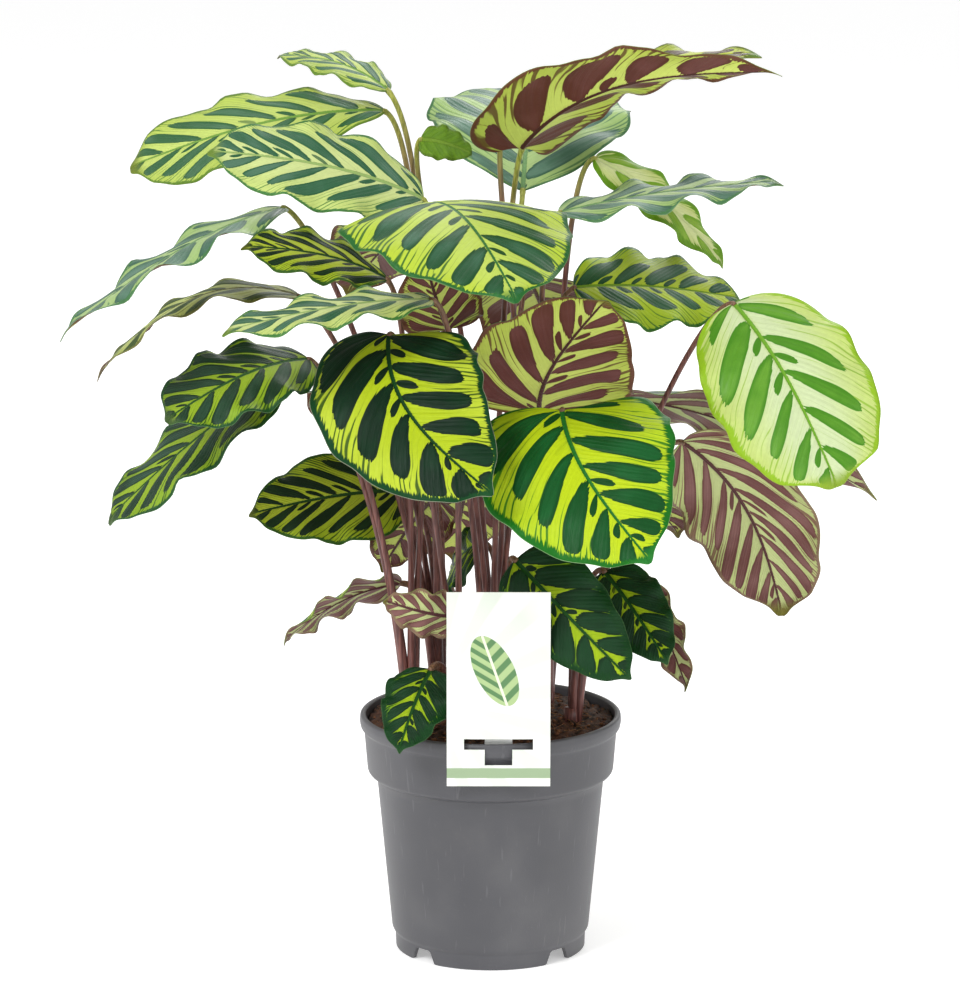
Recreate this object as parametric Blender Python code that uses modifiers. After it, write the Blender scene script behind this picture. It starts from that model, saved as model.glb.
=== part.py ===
# Potted calathea: a peacock plant in a nursery pot with a hang-on card.
# Metres, +Z up. The origin is on the pot's axis, at the level that the pot stands on.

from dataclasses import dataclass
from math import cos, pi, radians, sin, tau

import bmesh
import bpy
import numpy as np
from mathutils import Vector

MM = 0.001

# Driving dimensions of the pot, in millimetres: a 14 cm nursery pot
POT_HEIGHT = 129.0
LIP_RADIUS = 70.0
LIP_WIDEST = 125.0
COLLAR_TOP_RADIUS = 67.6
COLLAR_FOOT_RADIUS = 65.6
COLLAR_FOOT = 96.5
BODY_TOP_RADIUS = 60.6
BODY_TOP = 92.0
BODY_FOOT_RADIUS = 52.9
BODY_FOOT = 10.7
FOOT_RADIUS = 51.2
FOOT_TOP = 8.2
WALL = 1.4
FLOOR_LEVEL = 9.2
DRAIN_RADIUS = 6.0
SIDE_DRAIN_RADIUS = 4.0
SIDE_DRAIN_CIRCLE = 34.0
SIDE_DRAINS = 6
POT_STEPS = 36
NOTCHES = 4
NOTCH_WIDTH = 16.5
NOTCH_HEIGHT = 7.3
NOTCH_SLANT = 3.2
NOTCH_REACH = 12.0

# Soil, in millimetres
SOIL_TOP = 124.0
SOIL_MOUND = 4.0
SOIL_GAP = 0.4
SOIL_STEPS = 24
TONGUE_SLOT_WIDTH = 16.4
TONGUE_SLOT_REACH = 62.8
TONGUE_SLOT_FOOT = 120.2

# Card, in millimetres
CARD_WIDTH = 54.0
CARD_BOTTOM = 107.0
CARD_TOP = 211.0
CARD_CENTRE = 4.2
CARD_BACK = 70.4
CARD_THICKNESS = 0.6
FLAP_TOP = 132.6
FLAP_WIDTH = 36.0
FLAP_DROP = 6.0
TONGUE_WIDTH = 14.4
TONGUE_DROP = 14.4

# Shoots and stalks, in millimetres
CROWN_RADIUS = 6.0
CROWN_TOP_RADIUS = 3.7
CROWN_SIDES = 12
CROWN_DEPTH = 24.0
CROWN_TOP = 9.0
HOLE_CLEARANCE = 0.5
STALK_RADIUS = 1.35
STALK_FOOT_RADIUS = 1.9
STALK_POINTS = 8
STALK_SUNK = 4.0
STALK_LEAN = 0.05
STALK_BEND = 0.08
STALK_RISE = 0.5
KNEE_RADIUS = 1.5
JOINT_GAP = 0.8

# Blades, in millimetres
BLADE_THICKNESS = 0.7
BLADE_ROWS = 12
BLADE_COLUMNS = (-1.0, -0.58, 0.0, 0.58, 1.0)
BLADE_WAVES = 3.5
FOOT_POWER = 0.34
TIP_POWER = 0.66
LOBE_LENGTH = 0.12
LEAST_HALF_WIDTH = 0.45

MATERIALS = {
    "pot": ((0.085, 0.085, 0.09, 1.0), 0.5),
    "soil": ((0.06, 0.03, 0.015, 1.0), 0.95),
    "card": ((0.85, 0.87, 0.84, 1.0), 0.4),
    "stalk": ((0.2, 0.07, 0.06, 1.0), 0.45),
    "leaf_light": ((0.42, 0.6, 0.12, 1.0), 0.4),
    "leaf_dark": ((0.1, 0.28, 0.05, 1.0), 0.4),
}

# Where each shoot's crown stands in the soil, as x and y in millimetres
SHOOTS = {
    "shoot_left": (-41, -4),
    "shoot_left_back": (-26, 22),
    "shoot_back": (3, 38),
    "shoot_right_back": (30, 24),
    "shoot_right": (43, -8),
    "shoot_front_right": (22, -27),
    "shoot_front_left": (-16, -32),
    "shoot_centre": (0, 2),
}


@dataclass
class Leaf:
    """One leaf: its shoot, the blade's foot and tip, and the way the upper face looks."""

    name: str
    shoot: str
    base: tuple
    tip: tuple
    face: tuple
    width: float
    arch: float = 8.0
    sway: float = 0.0
    twist: float = 0.0
    cup: float = 0.12
    curl: float = -0.18
    wave: float = 2.5
    shoulder: float = FOOT_POWER
    taper: float = TIP_POWER
    lobe: float = 0.0
    dark: bool = False
    knee: float = 18.0


LEAVES = [
    Leaf("leaf_top_1", "shoot_left_back", (-54, 34, 458), (-114, 64, 474), (0, -15, 100), 36,
         arch=6, wave=2, shoulder=0.5, knee=28),
    Leaf("leaf_top_2", "shoot_left_back", (-56, 44, 446), (-193, 44, 416), (0, -66, 100), 54,
         arch=10, twist=-10, wave=3, shoulder=0.6, taper=0.42),
    Leaf("leaf_top_3", "shoot_left", (-35, 8, 404), (-147, -18, 434), (10, -90, 100), 56,
         arch=9, wave=3.5, shoulder=0.45, taper=0.55),
    Leaf("leaf_top_4", "shoot_back", (17, 38, 404), (24, 152, 443), (0, -60, 100), 110,
         arch=12, cup=0.2, shoulder=0.75, taper=0.6),
    Leaf("leaf_top_5", "shoot_back", (-37, 14, 435), (-9, 10, 428), (0, -90, 60), 20, arch=4, wave=1.5),
    Leaf("leaf_top_6", "shoot_centre", (16, -15, 434), (148, -70, 482), (0, 55, 100), 70,
         arch=8, sway=22, cup=0.42, wave=2.5, shoulder=0.26, taper=0.9, lobe=0.6),
    Leaf("leaf_top_7", "shoot_right_back", (36, -10, 400), (154, 10, 414), (0, -15, 100), 42,
         arch=3, wave=4.5),
    Leaf("leaf_top_8", "shoot_right_back", (55, 36, 422), (126, 45, 362), (60, -70, 60), 28,
         arch=8, wave=3),
    Leaf("leaf_top_9", "shoot_right_back", (8, 24, 446), (142, 15, 481), (0, -15, 100), 52,
         arch=10, wave=4.5),
    Leaf("leaf_front_1", "shoot_centre", (-34, -25, 407), (13, -150, 379), (3, -22, 100), 120,
         arch=14, cup=0.02, shoulder=0.3, lobe=0.2),
    Leaf("leaf_left_1", "shoot_left", (-54, -12, 365), (-129, -36, 387), (0, -60, 100), 40,
         arch=6, wave=3, shoulder=0.7),
    Leaf("leaf_left_2", "shoot_left_back", (-109, 20, 398), (-219, -110, 352), (-44, -20, 88), 40,
         arch=8, twist=30, wave=4.5, shoulder=0.45),
    Leaf("leaf_left_3", "shoot_left_back", (-101, 10, 352), (-209, -10, 312), (-34, -6, 94), 34,
         arch=20, twist=25, wave=3, shoulder=0.45),
    Leaf("leaf_left_4", "shoot_front_left", (-30, -61, 363), (-137, -92, 352), (0, -22, 100), 38,
         arch=4, wave=3.5, taper=0.45),
    Leaf("leaf_left_5", "shoot_left", (-95, -15, 323), (-167, -70, 302), (-20, -75, 100), 56,
         arch=8, wave=3.5, shoulder=0.4, taper=0.45, dark=True),
    Leaf("leaf_left_6", "shoot_left", (-102, 0, 313), (-203, -20, 237), (-40, -40, 100), 54,
         arch=6, wave=3.5, shoulder=0.45, taper=0.45, dark=True),
    Leaf("leaf_left_7", "shoot_left_back", (-47, 44, 240), (-130, 26, 231), (0, -130, 100), 56,
         arch=6, dark=True),
    Leaf("leaf_front_2", "shoot_front_left", (-52, -50, 343), (1, -125, 275), (-10, -100, 50), 90,
         sway=14, shoulder=0.28, lobe=0.12, dark=True),
    Leaf("leaf_front_3", "shoot_front_right", (37, -60, 305), (81, -130, 241), (0, -100, 60), 105,
         sway=8, shoulder=0.28, lobe=0.3, dark=True),
    Leaf("leaf_front_4", "shoot_right_back", (26, -8, 294), (60, -70, 366), (-5, 100, 40), 92,
         arch=-6, sway=9),
    Leaf("leaf_front_5", "shoot_front_left", (-22, -20, 340), (-34, -34, 380), (0, 80, 60), 46, arch=-4),
    Leaf("leaf_right_1", "shoot_right", (127, -10, 352), (179, -70, 267), (20, -100, 60), 88, sway=-2,
         shoulder=0.42, taper=0.42, lobe=0.1),
    Leaf("leaf_right_2", "shoot_centre", (44, 15, 356), (134, 28, 348), (0, -55, 100), 64,
         arch=4, wave=3.5, shoulder=0.4, dark=True),
    Leaf("leaf_right_3", "shoot_right", (101, 0, 276), (158, 40, 173), (30, 100, 50), 74,
         arch=6, sway=10, wave=3.5, taper=0.5),
    Leaf("leaf_right_4", "shoot_right", (59, 40, 292), (213, 90, 227), (0, 58, 100), 52,
         arch=12, wave=4.5),
    Leaf("leaf_low_1", "shoot_left_back", (-48, 22, 194), (-112, -5, 168), (0, 67, 100), 44,
         arch=6, wave=3),
    Leaf("leaf_low_2", "shoot_front_left", (-15, -50, 193), (-56, -62, 205), (-10, 100, 40), 30, arch=-3),
    Leaf("leaf_low_3", "shoot_front_left", (-31, -44, 163), (-48, -77, 127), (-30, -100, 50), 38,
         arch=4, dark=True),
    Leaf("leaf_low_4", "shoot_front_right", (13, -44, 222), (73, -74, 165), (-10, -100, 20), 50,
         arch=6, dark=True),
    Leaf("leaf_low_5", "shoot_right", (60, -15, 209), (93, -50, 168), (10, -100, 60), 40,
         arch=4, dark=True),
    Leaf("leaf_low_6", "shoot_right", (73, 10, 205), (106, 0, 140), (60, 80, 60), 34, arch=4),
    Leaf("leaf_low_7", "shoot_left_back", (-31, 56, 233), (-60, 94, 185), (0, 80, 60), 44, arch=4),
    Leaf("leaf_low_8", "shoot_back", (-5, 62, 207), (-24, 98, 177), (0, -60, 60), 46, arch=4, dark=True),
    Leaf("leaf_back_1", "shoot_back", (-30, 70, 380), (-80, 150, 330), (-10, 60, 100), 80, arch=10),
    Leaf("leaf_back_2", "shoot_back", (20, 80, 350), (40, 150, 270), (10, 80, 80), 74,
         arch=10, dark=True),
    Leaf("leaf_back_3", "shoot_right_back", (62, 80, 285), (190, 130, 262), (0, 18, 100), 70, arch=6),
    Leaf("leaf_back_4", "shoot_left_back", (-60, 60, 300), (-80, 130, 255), (-40, 60, 100), 64,
         arch=10, dark=True),
    Leaf("leaf_back_5", "shoot_right_back", (60, 70, 240), (105, 115, 200), (20, 60, 100), 62,
         arch=8, dark=True),
    Leaf("leaf_back_6", "shoot_back", (-10, 80, 240), (-20, 140, 180), (-10, 80, 80), 70, arch=8),
]


def unit(v):
    """The vector v made one long."""
    v = np.asarray(v, float)
    return v / np.linalg.norm(v)


def midrib(leaf, s):
    """Points and side and normal directions of the midrib at the shares s of its length.

    The midrib runs straight from foot to tip, plus an arch along the upper face's direction
    and a sway to the side. Both are zero at the ends and largest a little before the middle.
    """
    base = np.array(leaf.base, float)
    chord = np.array(leaf.tip, float) - base
    along = unit(chord)
    face = np.array(leaf.face, float)
    up = unit(face - face.dot(along) * along)
    side = np.cross(along, up)
    roll = radians(leaf.twist) * (s - 0.5)[:, None]
    bow = np.sin(pi * s**0.85)[:, None]
    points = base + s[:, None] * chord + bow * (leaf.arch * up + leaf.sway * side)
    slope = np.gradient(points, s, axis=0)
    slope /= np.linalg.norm(slope, axis=1)[:, None]
    tilted = np.cos(roll) * up + np.sin(roll) * side
    normal = tilted - (slope * tilted).sum(axis=1)[:, None] * slope
    normal /= np.linalg.norm(normal, axis=1)[:, None]
    return points, np.cross(slope, normal), normal, slope


def half_width(leaf, s):
    """Half the blade's width: s^shoulder (1-s)^taper, scaled to peak at half of the leaf's width.

    A smaller shoulder gives a broader foot, and a smaller taper gives a blunter tip.
    """
    peak_at = leaf.shoulder / (leaf.shoulder + leaf.taper)
    peak = peak_at**leaf.shoulder * (1.0 - peak_at) ** leaf.taper
    return leaf.width / 2.0 * s**leaf.shoulder * (1.0 - s) ** leaf.taper / peak


def blade_points(leaf, s, across):
    """The blade's middle surface on a grid, s along the midrib and across from -1 to 1.

    Each side rises from the midrib by the cup and bends by the curl, and the margin waves
    up and down, most at the edge. The waves on the two sides are out of step. A heart-shaped
    blade has lobes that reach back past its foot.
    """
    points, side, normal, slope = midrib(leaf, s)
    half = np.maximum(half_width(leaf, s), LEAST_HALF_WIDTH)[:, None]
    v = np.asarray(across, float)[None, :]
    ends = np.sin(pi * s)[:, None] ** 0.6
    turn = tau * BLADE_WAVES * s[:, None] + np.where(v > 0, 1.9, 0.0)
    lift = leaf.cup * np.abs(v) * half + leaf.curl * v**2 * half
    lift = lift + leaf.wave * np.sin(turn) * np.abs(v) ** 2.5 * ends
    reach = v * half * np.sqrt(np.clip(1.0 - (leaf.cup + leaf.curl * np.abs(v)) ** 2, 0.3, 1.0))
    back = leaf.lobe * half * np.abs(v) ** 1.5 * np.exp(-s / LOBE_LENGTH)[:, None]
    flat = points[:, None, :] + reach[..., None] * side[:, None, :] - back[..., None] * slope[:, None, :]
    return flat + lift[..., None] * normal[:, None, :]


def blade_rows():
    """Shares along the midrib, closer together towards the foot and the tip."""
    turn = np.linspace(0.0, 1.0, BLADE_ROWS + 1)
    s = 0.55 * turn**1.7 + 0.45 * (1.0 - (1.0 - turn) ** 1.3)
    s[0] = 0.0015
    s[-1] = 0.998
    return s


def clean_scene():
    """Remove every object of the starting scene."""
    for item in list(bpy.data.objects):
        bpy.data.objects.remove(item, do_unlink=True)


def new_collection(name):
    """A new collection in the scene."""
    group = bpy.data.collections.new(name)
    bpy.context.scene.collection.children.link(group)
    return group


def make_material(name):
    """A plain Principled material from the table of colours."""
    colour, rough = MATERIALS[name]
    material = bpy.data.materials.new(name)
    material.use_nodes = True
    shader = material.node_tree.nodes["Principled BSDF"]
    shader.inputs["Base Color"].default_value = colour
    shader.inputs["Roughness"].default_value = rough
    shader.inputs["Metallic"].default_value = 0.0
    material.diffuse_color = colour
    return material


def add_object(name, mesh, group, material=None):
    """An object of the mesh in the collection, with its material."""
    item = bpy.data.objects.new(name, mesh)
    group.objects.link(item)
    if material is not None:
        mesh.materials.append(material)
    return item


def mesh_from_bmesh(name, bm):
    """A mesh of the bmesh, which is then freed."""
    mesh = bpy.data.meshes.new(name)
    bm.to_mesh(mesh)
    bm.free()
    return mesh


def profile_mesh(name, points, closed):
    """A line of edges in the XZ plane through the points, in millimetres."""
    bm = bmesh.new()
    verts = [bm.verts.new((x * MM, 0.0, z * MM)) for x, z in points]
    for first, second in zip(verts, verts[1:]):
        bm.edges.new((first, second))
    if closed:
        bm.edges.new((verts[-1], verts[0]))
    return mesh_from_bmesh(name, bm)


def turn_profile(item, steps):
    """Turn the profile about Z with a Screw modifier."""
    screw = item.modifiers.new("turn", "SCREW")
    screw.axis = "Z"
    screw.angle = tau
    screw.steps = steps
    screw.render_steps = steps
    screw.use_merge_vertices = True
    screw.merge_threshold = 0.00001
    screw.use_smooth_shade = True


def apply_modifiers(item):
    """Replace the object's mesh by its evaluated mesh and drop the modifiers."""
    bpy.context.view_layer.update()
    evaluated = item.evaluated_get(bpy.context.evaluated_depsgraph_get())
    mesh = bpy.data.meshes.new_from_object(evaluated)
    item.modifiers.clear()
    item.data = mesh


def combine(item, group, operation):
    """Cut the collection's objects out of the object, or join them to it, and remove them."""
    boolean = item.modifiers.new("combine", "BOOLEAN")
    boolean.operation = operation
    boolean.operand_type = "COLLECTION"
    boolean.collection = group
    boolean.solver = "EXACT"
    apply_modifiers(item)
    for used in list(group.objects):
        bpy.data.objects.remove(used, do_unlink=True)


def hide_cutter(item):
    """Mark a cutter so that it is left out of the model."""
    item.hide_render = True
    item.display_type = "WIRE"


def cylinder_cutter(name, radius, low, high, x, y, group, sides=CROWN_SIDES):
    """A closed upright cylinder used as a cutter, in millimetres."""
    bm = bmesh.new()
    bmesh.ops.create_cone(
        bm,
        cap_ends=True,
        segments=sides,
        radius1=radius * MM,
        radius2=radius * MM,
        depth=(high - low) * MM,
    )
    item = add_object(name, mesh_from_bmesh(name, bm), group)
    item.location = (x * MM, y * MM, (low + high) / 2 * MM)
    hide_cutter(item)


def pot_profile():
    """The pot's section: down the outside, in under the floor, and up the inside."""
    outer = [
        (LIP_RADIUS - 1.9, POT_HEIGHT),
        (LIP_RADIUS - 0.5, POT_HEIGHT - 1.1),
        (LIP_RADIUS, LIP_WIDEST),
        (LIP_RADIUS - 0.6, LIP_WIDEST - 3.4),
        (COLLAR_TOP_RADIUS, LIP_WIDEST - 5.2),
        (COLLAR_FOOT_RADIUS + 0.2, COLLAR_FOOT + 1.6),
        (COLLAR_FOOT_RADIUS - 0.9, COLLAR_FOOT),
        (BODY_TOP_RADIUS + 1.4, COLLAR_FOOT - 1.2),
        (BODY_TOP_RADIUS, BODY_TOP),
        (BODY_FOOT_RADIUS, BODY_FOOT),
        (FOOT_RADIUS, FOOT_TOP),
        (FOOT_RADIUS - 0.3, 0.0),
    ]
    inner = [
        (FOOT_RADIUS - 0.3 - WALL - 0.6, 0.0),
        (FOOT_RADIUS - WALL - 1.0, FLOOR_LEVEL - 1.4),
        (DRAIN_RADIUS, FLOOR_LEVEL - 1.4),
        (DRAIN_RADIUS, FLOOR_LEVEL),
        (BODY_FOOT_RADIUS - WALL - 1.4, FLOOR_LEVEL),
        (BODY_FOOT_RADIUS - WALL, BODY_FOOT + 2.0),
        (BODY_TOP_RADIUS - WALL, BODY_TOP + 0.6),
        (COLLAR_FOOT_RADIUS - WALL - 1.0, COLLAR_FOOT + 1.4),
        (COLLAR_FOOT_RADIUS - WALL, COLLAR_FOOT + 3.4),
        (COLLAR_TOP_RADIUS - WALL, LIP_WIDEST - 3.0),
        (COLLAR_TOP_RADIUS - WALL + 0.4, POT_HEIGHT - 0.9),
    ]
    return outer + inner


def notch_cutter(index, group):
    """A block with slanted sides that cuts one notch in the foot ring."""
    bm = bmesh.new()
    bmesh.ops.create_cube(bm, size=1.0)
    for vert in bm.verts:
        half = NOTCH_WIDTH / 2 if vert.co.z < 0 else NOTCH_WIDTH / 2 - NOTCH_SLANT
        vert.co.y = half * MM * (1 if vert.co.y > 0 else -1)
        vert.co.x *= NOTCH_REACH * MM
        vert.co.z = -2.0 * MM if vert.co.z < 0 else NOTCH_HEIGHT * MM
    item = add_object("notch", mesh_from_bmesh("notch", bm), group)
    angle = pi / 4 + index * tau / NOTCHES
    item.location = (FOOT_RADIUS * MM * cos(angle), FOOT_RADIUS * MM * sin(angle), 0.0)
    item.rotation_euler = (0.0, 0.0, angle)
    hide_cutter(item)


def build_pot(parts, cutters, materials):
    """The nursery pot: a turned shell with foot notches and drain holes cut in it."""
    pot = add_object("pot", profile_mesh("pot", pot_profile(), True), parts, materials["pot"])
    turn_profile(pot, POT_STEPS)
    apply_modifiers(pot)
    for index in range(NOTCHES):
        notch_cutter(index, cutters)
    for index in range(SIDE_DRAINS):
        angle = tau * index / SIDE_DRAINS
        x = SIDE_DRAIN_CIRCLE * cos(angle)
        y = SIDE_DRAIN_CIRCLE * sin(angle)
        cylinder_cutter("drain", SIDE_DRAIN_RADIUS, 2.0, FLOOR_LEVEL + 3.0, x, y, cutters, sides=10)
    combine(pot, cutters, "DIFFERENCE")


def soil_height(x, y):
    """The soil's surface, in millimetres: a low mound with soft lumps, level at the wall."""
    reach = np.clip(np.hypot(x, y) / 64.0, 0.0, 1.0)
    mound = SOIL_MOUND * (1.0 - reach**2)
    lumps = 1.2 * np.sin(x / 7.3 + 1.0) * np.cos(y / 6.1) + 0.7 * np.sin(x / 3.9 + y / 5.2)
    return SOIL_TOP + mound + lumps * (1.0 - 0.6 * reach)


def soil_profile():
    """The soil's section, from the middle of its top out to the wall and down to its foot."""
    gap = WALL + SOIL_GAP
    wall_top = COLLAR_TOP_RADIUS - gap - 0.4
    rings = [(wall_top * share, SOIL_TOP) for share in (0.0, 0.22, 0.44, 0.64, 0.84, 1.0)]
    side = [
        (COLLAR_FOOT_RADIUS - gap - 0.2, COLLAR_FOOT + 3.8),
        (COLLAR_FOOT_RADIUS - gap - 1.2, COLLAR_FOOT + 2.2),
        (BODY_TOP_RADIUS - gap - 0.3, BODY_TOP + 0.6),
        (BODY_FOOT_RADIUS - gap - 0.2, BODY_FOOT + 2.0),
        (BODY_FOOT_RADIUS - gap - 2.0, FLOOR_LEVEL + SOIL_GAP),
        (0.0, FLOOR_LEVEL + SOIL_GAP),
    ]
    return rings + side


def slot_cutter(group):
    """A block that cuts the slot at the soil's edge where the card's tongue is pushed in."""
    bm = bmesh.new()
    bmesh.ops.create_cube(bm, size=1.0)
    for vert in bm.verts:
        vert.co.x = (CARD_CENTRE + TONGUE_SLOT_WIDTH * vert.co.x) * MM
        vert.co.y = (-LIP_RADIUS if vert.co.y < 0 else -TONGUE_SLOT_REACH) * MM
        vert.co.z = (TONGUE_SLOT_FOOT if vert.co.z < 0 else POT_HEIGHT) * MM
    hide_cutter(add_object("slot", mesh_from_bmesh("slot", bm), group))


def build_soil(parts, cutters, materials):
    """The soil plug, with a plain hole for each shoot's crown and a slot for the card's tongue."""
    soil = add_object("soil", profile_mesh("soil", soil_profile(), False), parts, materials["soil"])
    turn_profile(soil, SOIL_STEPS)
    apply_modifiers(soil)
    bm = bmesh.new()
    bm.from_mesh(soil.data)
    bmesh.ops.remove_doubles(bm, verts=bm.verts, dist=0.00001)
    for vert in bm.verts:
        if vert.co.z > (SOIL_TOP - 1.0) * MM:
            vert.co.z = soil_height(vert.co.x / MM, vert.co.y / MM) * MM
    bmesh.ops.triangulate(bm, faces=bm.faces)
    bmesh.ops.recalc_face_normals(bm, faces=bm.faces)
    bm.to_mesh(soil.data)
    bm.free()
    for x, y in SHOOTS.values():
        foot = SOIL_TOP - CROWN_DEPTH - HOLE_CLEARANCE
        cylinder_cutter("hole", CROWN_RADIUS + HOLE_CLEARANCE, foot, SOIL_TOP + 20.0, x, y, cutters)
    slot_cutter(cutters)
    combine(soil, cutters, "DIFFERENCE")


def card_outline():
    """The card's plate and its flap, as two grids of points in millimetres."""
    left = CARD_CENTRE - CARD_WIDTH / 2
    right = CARD_CENTRE + CARD_WIDTH / 2
    flap_left = CARD_CENTRE - FLAP_WIDTH / 2
    flap_right = CARD_CENTRE + FLAP_WIDTH / 2
    tongue_left = CARD_CENTRE - TONGUE_WIDTH / 2
    tongue_right = CARD_CENTRE + TONGUE_WIDTH / 2
    xs = [left, flap_left, tongue_left, tongue_right, flap_right, right]
    zs = [CARD_BOTTOM, FLAP_TOP - TONGUE_DROP, FLAP_TOP - FLAP_DROP, FLAP_TOP, CARD_TOP]
    return xs, zs


def build_card(parts, materials):
    """The hang-on card: a plate with a T-shaped cut, whose flap folds back over the lip."""
    xs, zs = card_outline()
    y = -(CARD_BACK + CARD_THICKNESS / 2)
    bm = bmesh.new()
    grid = {}
    for column, x in enumerate(xs):
        for row, z in enumerate(zs):
            grid[column, row] = bm.verts.new((x * MM, y * MM, z * MM))
    holes = {(2, 1), (1, 2), (2, 2), (3, 2)}
    for column in range(len(xs) - 1):
        for row in range(len(zs) - 1):
            if (column, row) in holes:
                continue
            corners = [(column, row), (column + 1, row), (column + 1, row + 1), (column, row + 1)]
            bm.faces.new([grid[corner] for corner in corners])
    hinge = [grid[column, 3] for column in range(1, 5)]
    fold = [(-(LIP_RADIUS - 0.6), FLAP_TOP - 0.4), (-(LIP_RADIUS - 4.4), FLAP_TOP - 1.2)]
    previous = hinge
    for depth, height in fold:
        row = [bm.verts.new((vert.co.x, depth * MM, height * MM)) for vert in hinge]
        for index in range(3):
            bm.faces.new([previous[index], row[index], row[index + 1], previous[index + 1]])
        previous = row
    first, second = previous[1], previous[2]
    for depth, height in [(-(LIP_RADIUS - 5.6), FLAP_TOP - 3.6), (-(LIP_RADIUS - 6.0), FLAP_TOP - 11.0)]:
        third = bm.verts.new((first.co.x, depth * MM, height * MM))
        fourth = bm.verts.new((second.co.x, depth * MM, height * MM))
        bm.faces.new([first, third, fourth, second])
        first, second = third, fourth
    loose = [vert for vert in bm.verts if not vert.link_faces]
    bmesh.ops.delete(bm, geom=loose, context="VERTS")
    bmesh.ops.triangulate(bm, faces=bm.faces)
    bmesh.ops.recalc_face_normals(bm, faces=bm.faces)
    card = add_object("label", mesh_from_bmesh("label", bm), parts, materials["card"])
    thicken(card, CARD_THICKNESS)


def thicken(item, thickness):
    """Give an open surface its thickness, half to each side."""
    solidify = item.modifiers.new("thickness", "SOLIDIFY")
    solidify.thickness = thickness * MM
    solidify.offset = 0.0
    solidify.use_even_offset = True
    solidify.use_quality_normals = True


def grid_mesh(name, points):
    """An open mesh of triangles on a grid of points given in millimetres."""
    rows, columns = points.shape[:2]
    bm = bmesh.new()
    verts = [[bm.verts.new(points[i, j] * MM) for j in range(columns)] for i in range(rows)]
    for i in range(rows - 1):
        for j in range(columns - 1):
            a, b = verts[i][j], verts[i][j + 1]
            c, d = verts[i + 1][j + 1], verts[i + 1][j]
            if j < columns // 2:
                bm.faces.new((a, b, c))
                bm.faces.new((a, c, d))
            else:
                bm.faces.new((a, b, d))
                bm.faces.new((b, c, d))
    return mesh_from_bmesh(name, bm)


def build_blade(leaf, parts, materials):
    """One leaf blade: a thin waved body from its formula."""
    points = blade_points(leaf, blade_rows(), BLADE_COLUMNS)
    material = materials["leaf_dark" if leaf.dark else "leaf_light"]
    blade = add_object(leaf.name, grid_mesh(leaf.name, points), parts, material)
    blade.data.shade_smooth()
    thicken(blade, BLADE_THICKNESS)


def stalk_path(leaf):
    """Points along the leaf's stalk: a cubic curve from the crown up and over to the blade."""
    s = np.linspace(0.0, 1.0, 41)
    points, _, _, slope = midrib(leaf, s)
    x, y = SHOOTS[leaf.shoot]
    start = np.array([x, y, SOIL_TOP - STALK_SUNK])
    toward = (points[0] - start) * np.array([1.0, 1.0, 0.0])
    start = start + STALK_LEAN * toward * min(1.0, 60.0 / max(np.linalg.norm(toward), 1.0))
    end = points[0] - slope[0] * JOINT_GAP
    length = np.linalg.norm(end - start)
    first = start + np.array([0.0, 0.0, length * STALK_RISE]) + STALK_BEND * toward
    second = end - slope[0] * leaf.knee
    t = np.linspace(0.0, 1.0, STALK_POINTS)
    t = (1.0 - (1.0 - t) ** 1.35)[:, None]
    low = (1 - t) ** 3 * start + 3 * t * (1 - t) ** 2 * first
    return low + 3 * t**2 * (1 - t) * second + t**3 * end


def stalk_radii(count):
    """The stalk's radius along it: thicker at the foot, and a little thicker at the knee."""
    radii = np.linspace(STALK_FOOT_RADIUS, STALK_RADIUS, count)
    radii[-2:] = KNEE_RADIUS
    radii[-1] = STALK_RADIUS * 0.8
    return radii


def tube_object(name, points, radii, group):
    """A closed tube along the points, made from a bevelled curve and welded."""
    curve = bpy.data.curves.new(name, "CURVE")
    curve.dimensions = "3D"
    curve.bevel_depth = MM
    curve.bevel_resolution = 1
    curve.use_fill_caps = True
    spline = curve.splines.new("POLY")
    spline.points.add(len(points) - 1)
    for point, place, radius in zip(spline.points, points, radii):
        point.co = (*(Vector(place) * MM), 1.0)
        point.radius = radius
    item = bpy.data.objects.new(name, curve)
    group.objects.link(item)
    bpy.context.view_layer.update()
    evaluated = item.evaluated_get(bpy.context.evaluated_depsgraph_get())
    mesh = bpy.data.meshes.new_from_object(evaluated)
    place = item.matrix_world.copy()
    bpy.data.objects.remove(item, do_unlink=True)
    bm = bmesh.new()
    bm.from_mesh(mesh)
    bmesh.ops.remove_doubles(bm, verts=bm.verts, dist=0.00001)
    bmesh.ops.recalc_face_normals(bm, faces=bm.faces)
    bm.to_mesh(mesh)
    bm.free()
    tube = bpy.data.objects.new(name, mesh)
    tube.matrix_world = place
    group.objects.link(tube)
    return tube


def build_shoot(name, parts, cutters, materials):
    """One shoot: its crown in the soil, with the stalks of its leaves grown together at the foot."""
    x, y = SHOOTS[name]
    bm = bmesh.new()
    bmesh.ops.create_cone(
        bm,
        cap_ends=True,
        segments=CROWN_SIDES,
        radius1=CROWN_RADIUS * MM,
        radius2=CROWN_TOP_RADIUS * MM,
        depth=(CROWN_DEPTH + CROWN_TOP) * MM,
    )
    middle = SOIL_TOP + (CROWN_TOP - CROWN_DEPTH) / 2
    bmesh.ops.translate(bm, verts=bm.verts, vec=(x * MM, y * MM, middle * MM))
    crown = add_object(name, mesh_from_bmesh(name, bm), parts, materials["stalk"])
    for leaf in LEAVES:
        if leaf.shoot == name:
            path = stalk_path(leaf)
            tube_object("stalk", path, stalk_radii(len(path)), cutters)
    combine(crown, cutters, "UNION")


def main():
    clean_scene()
    parts = new_collection("potted_calathea")
    cutters = new_collection("cutters")
    materials = {name: make_material(name) for name in MATERIALS}
    build_pot(parts, cutters, materials)
    build_soil(parts, cutters, materials)
    build_card(parts, materials)
    for name in SHOOTS:
        build_shoot(name, parts, cutters, materials)
    for leaf in LEAVES:
        build_blade(leaf, parts, materials)


main()
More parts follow.
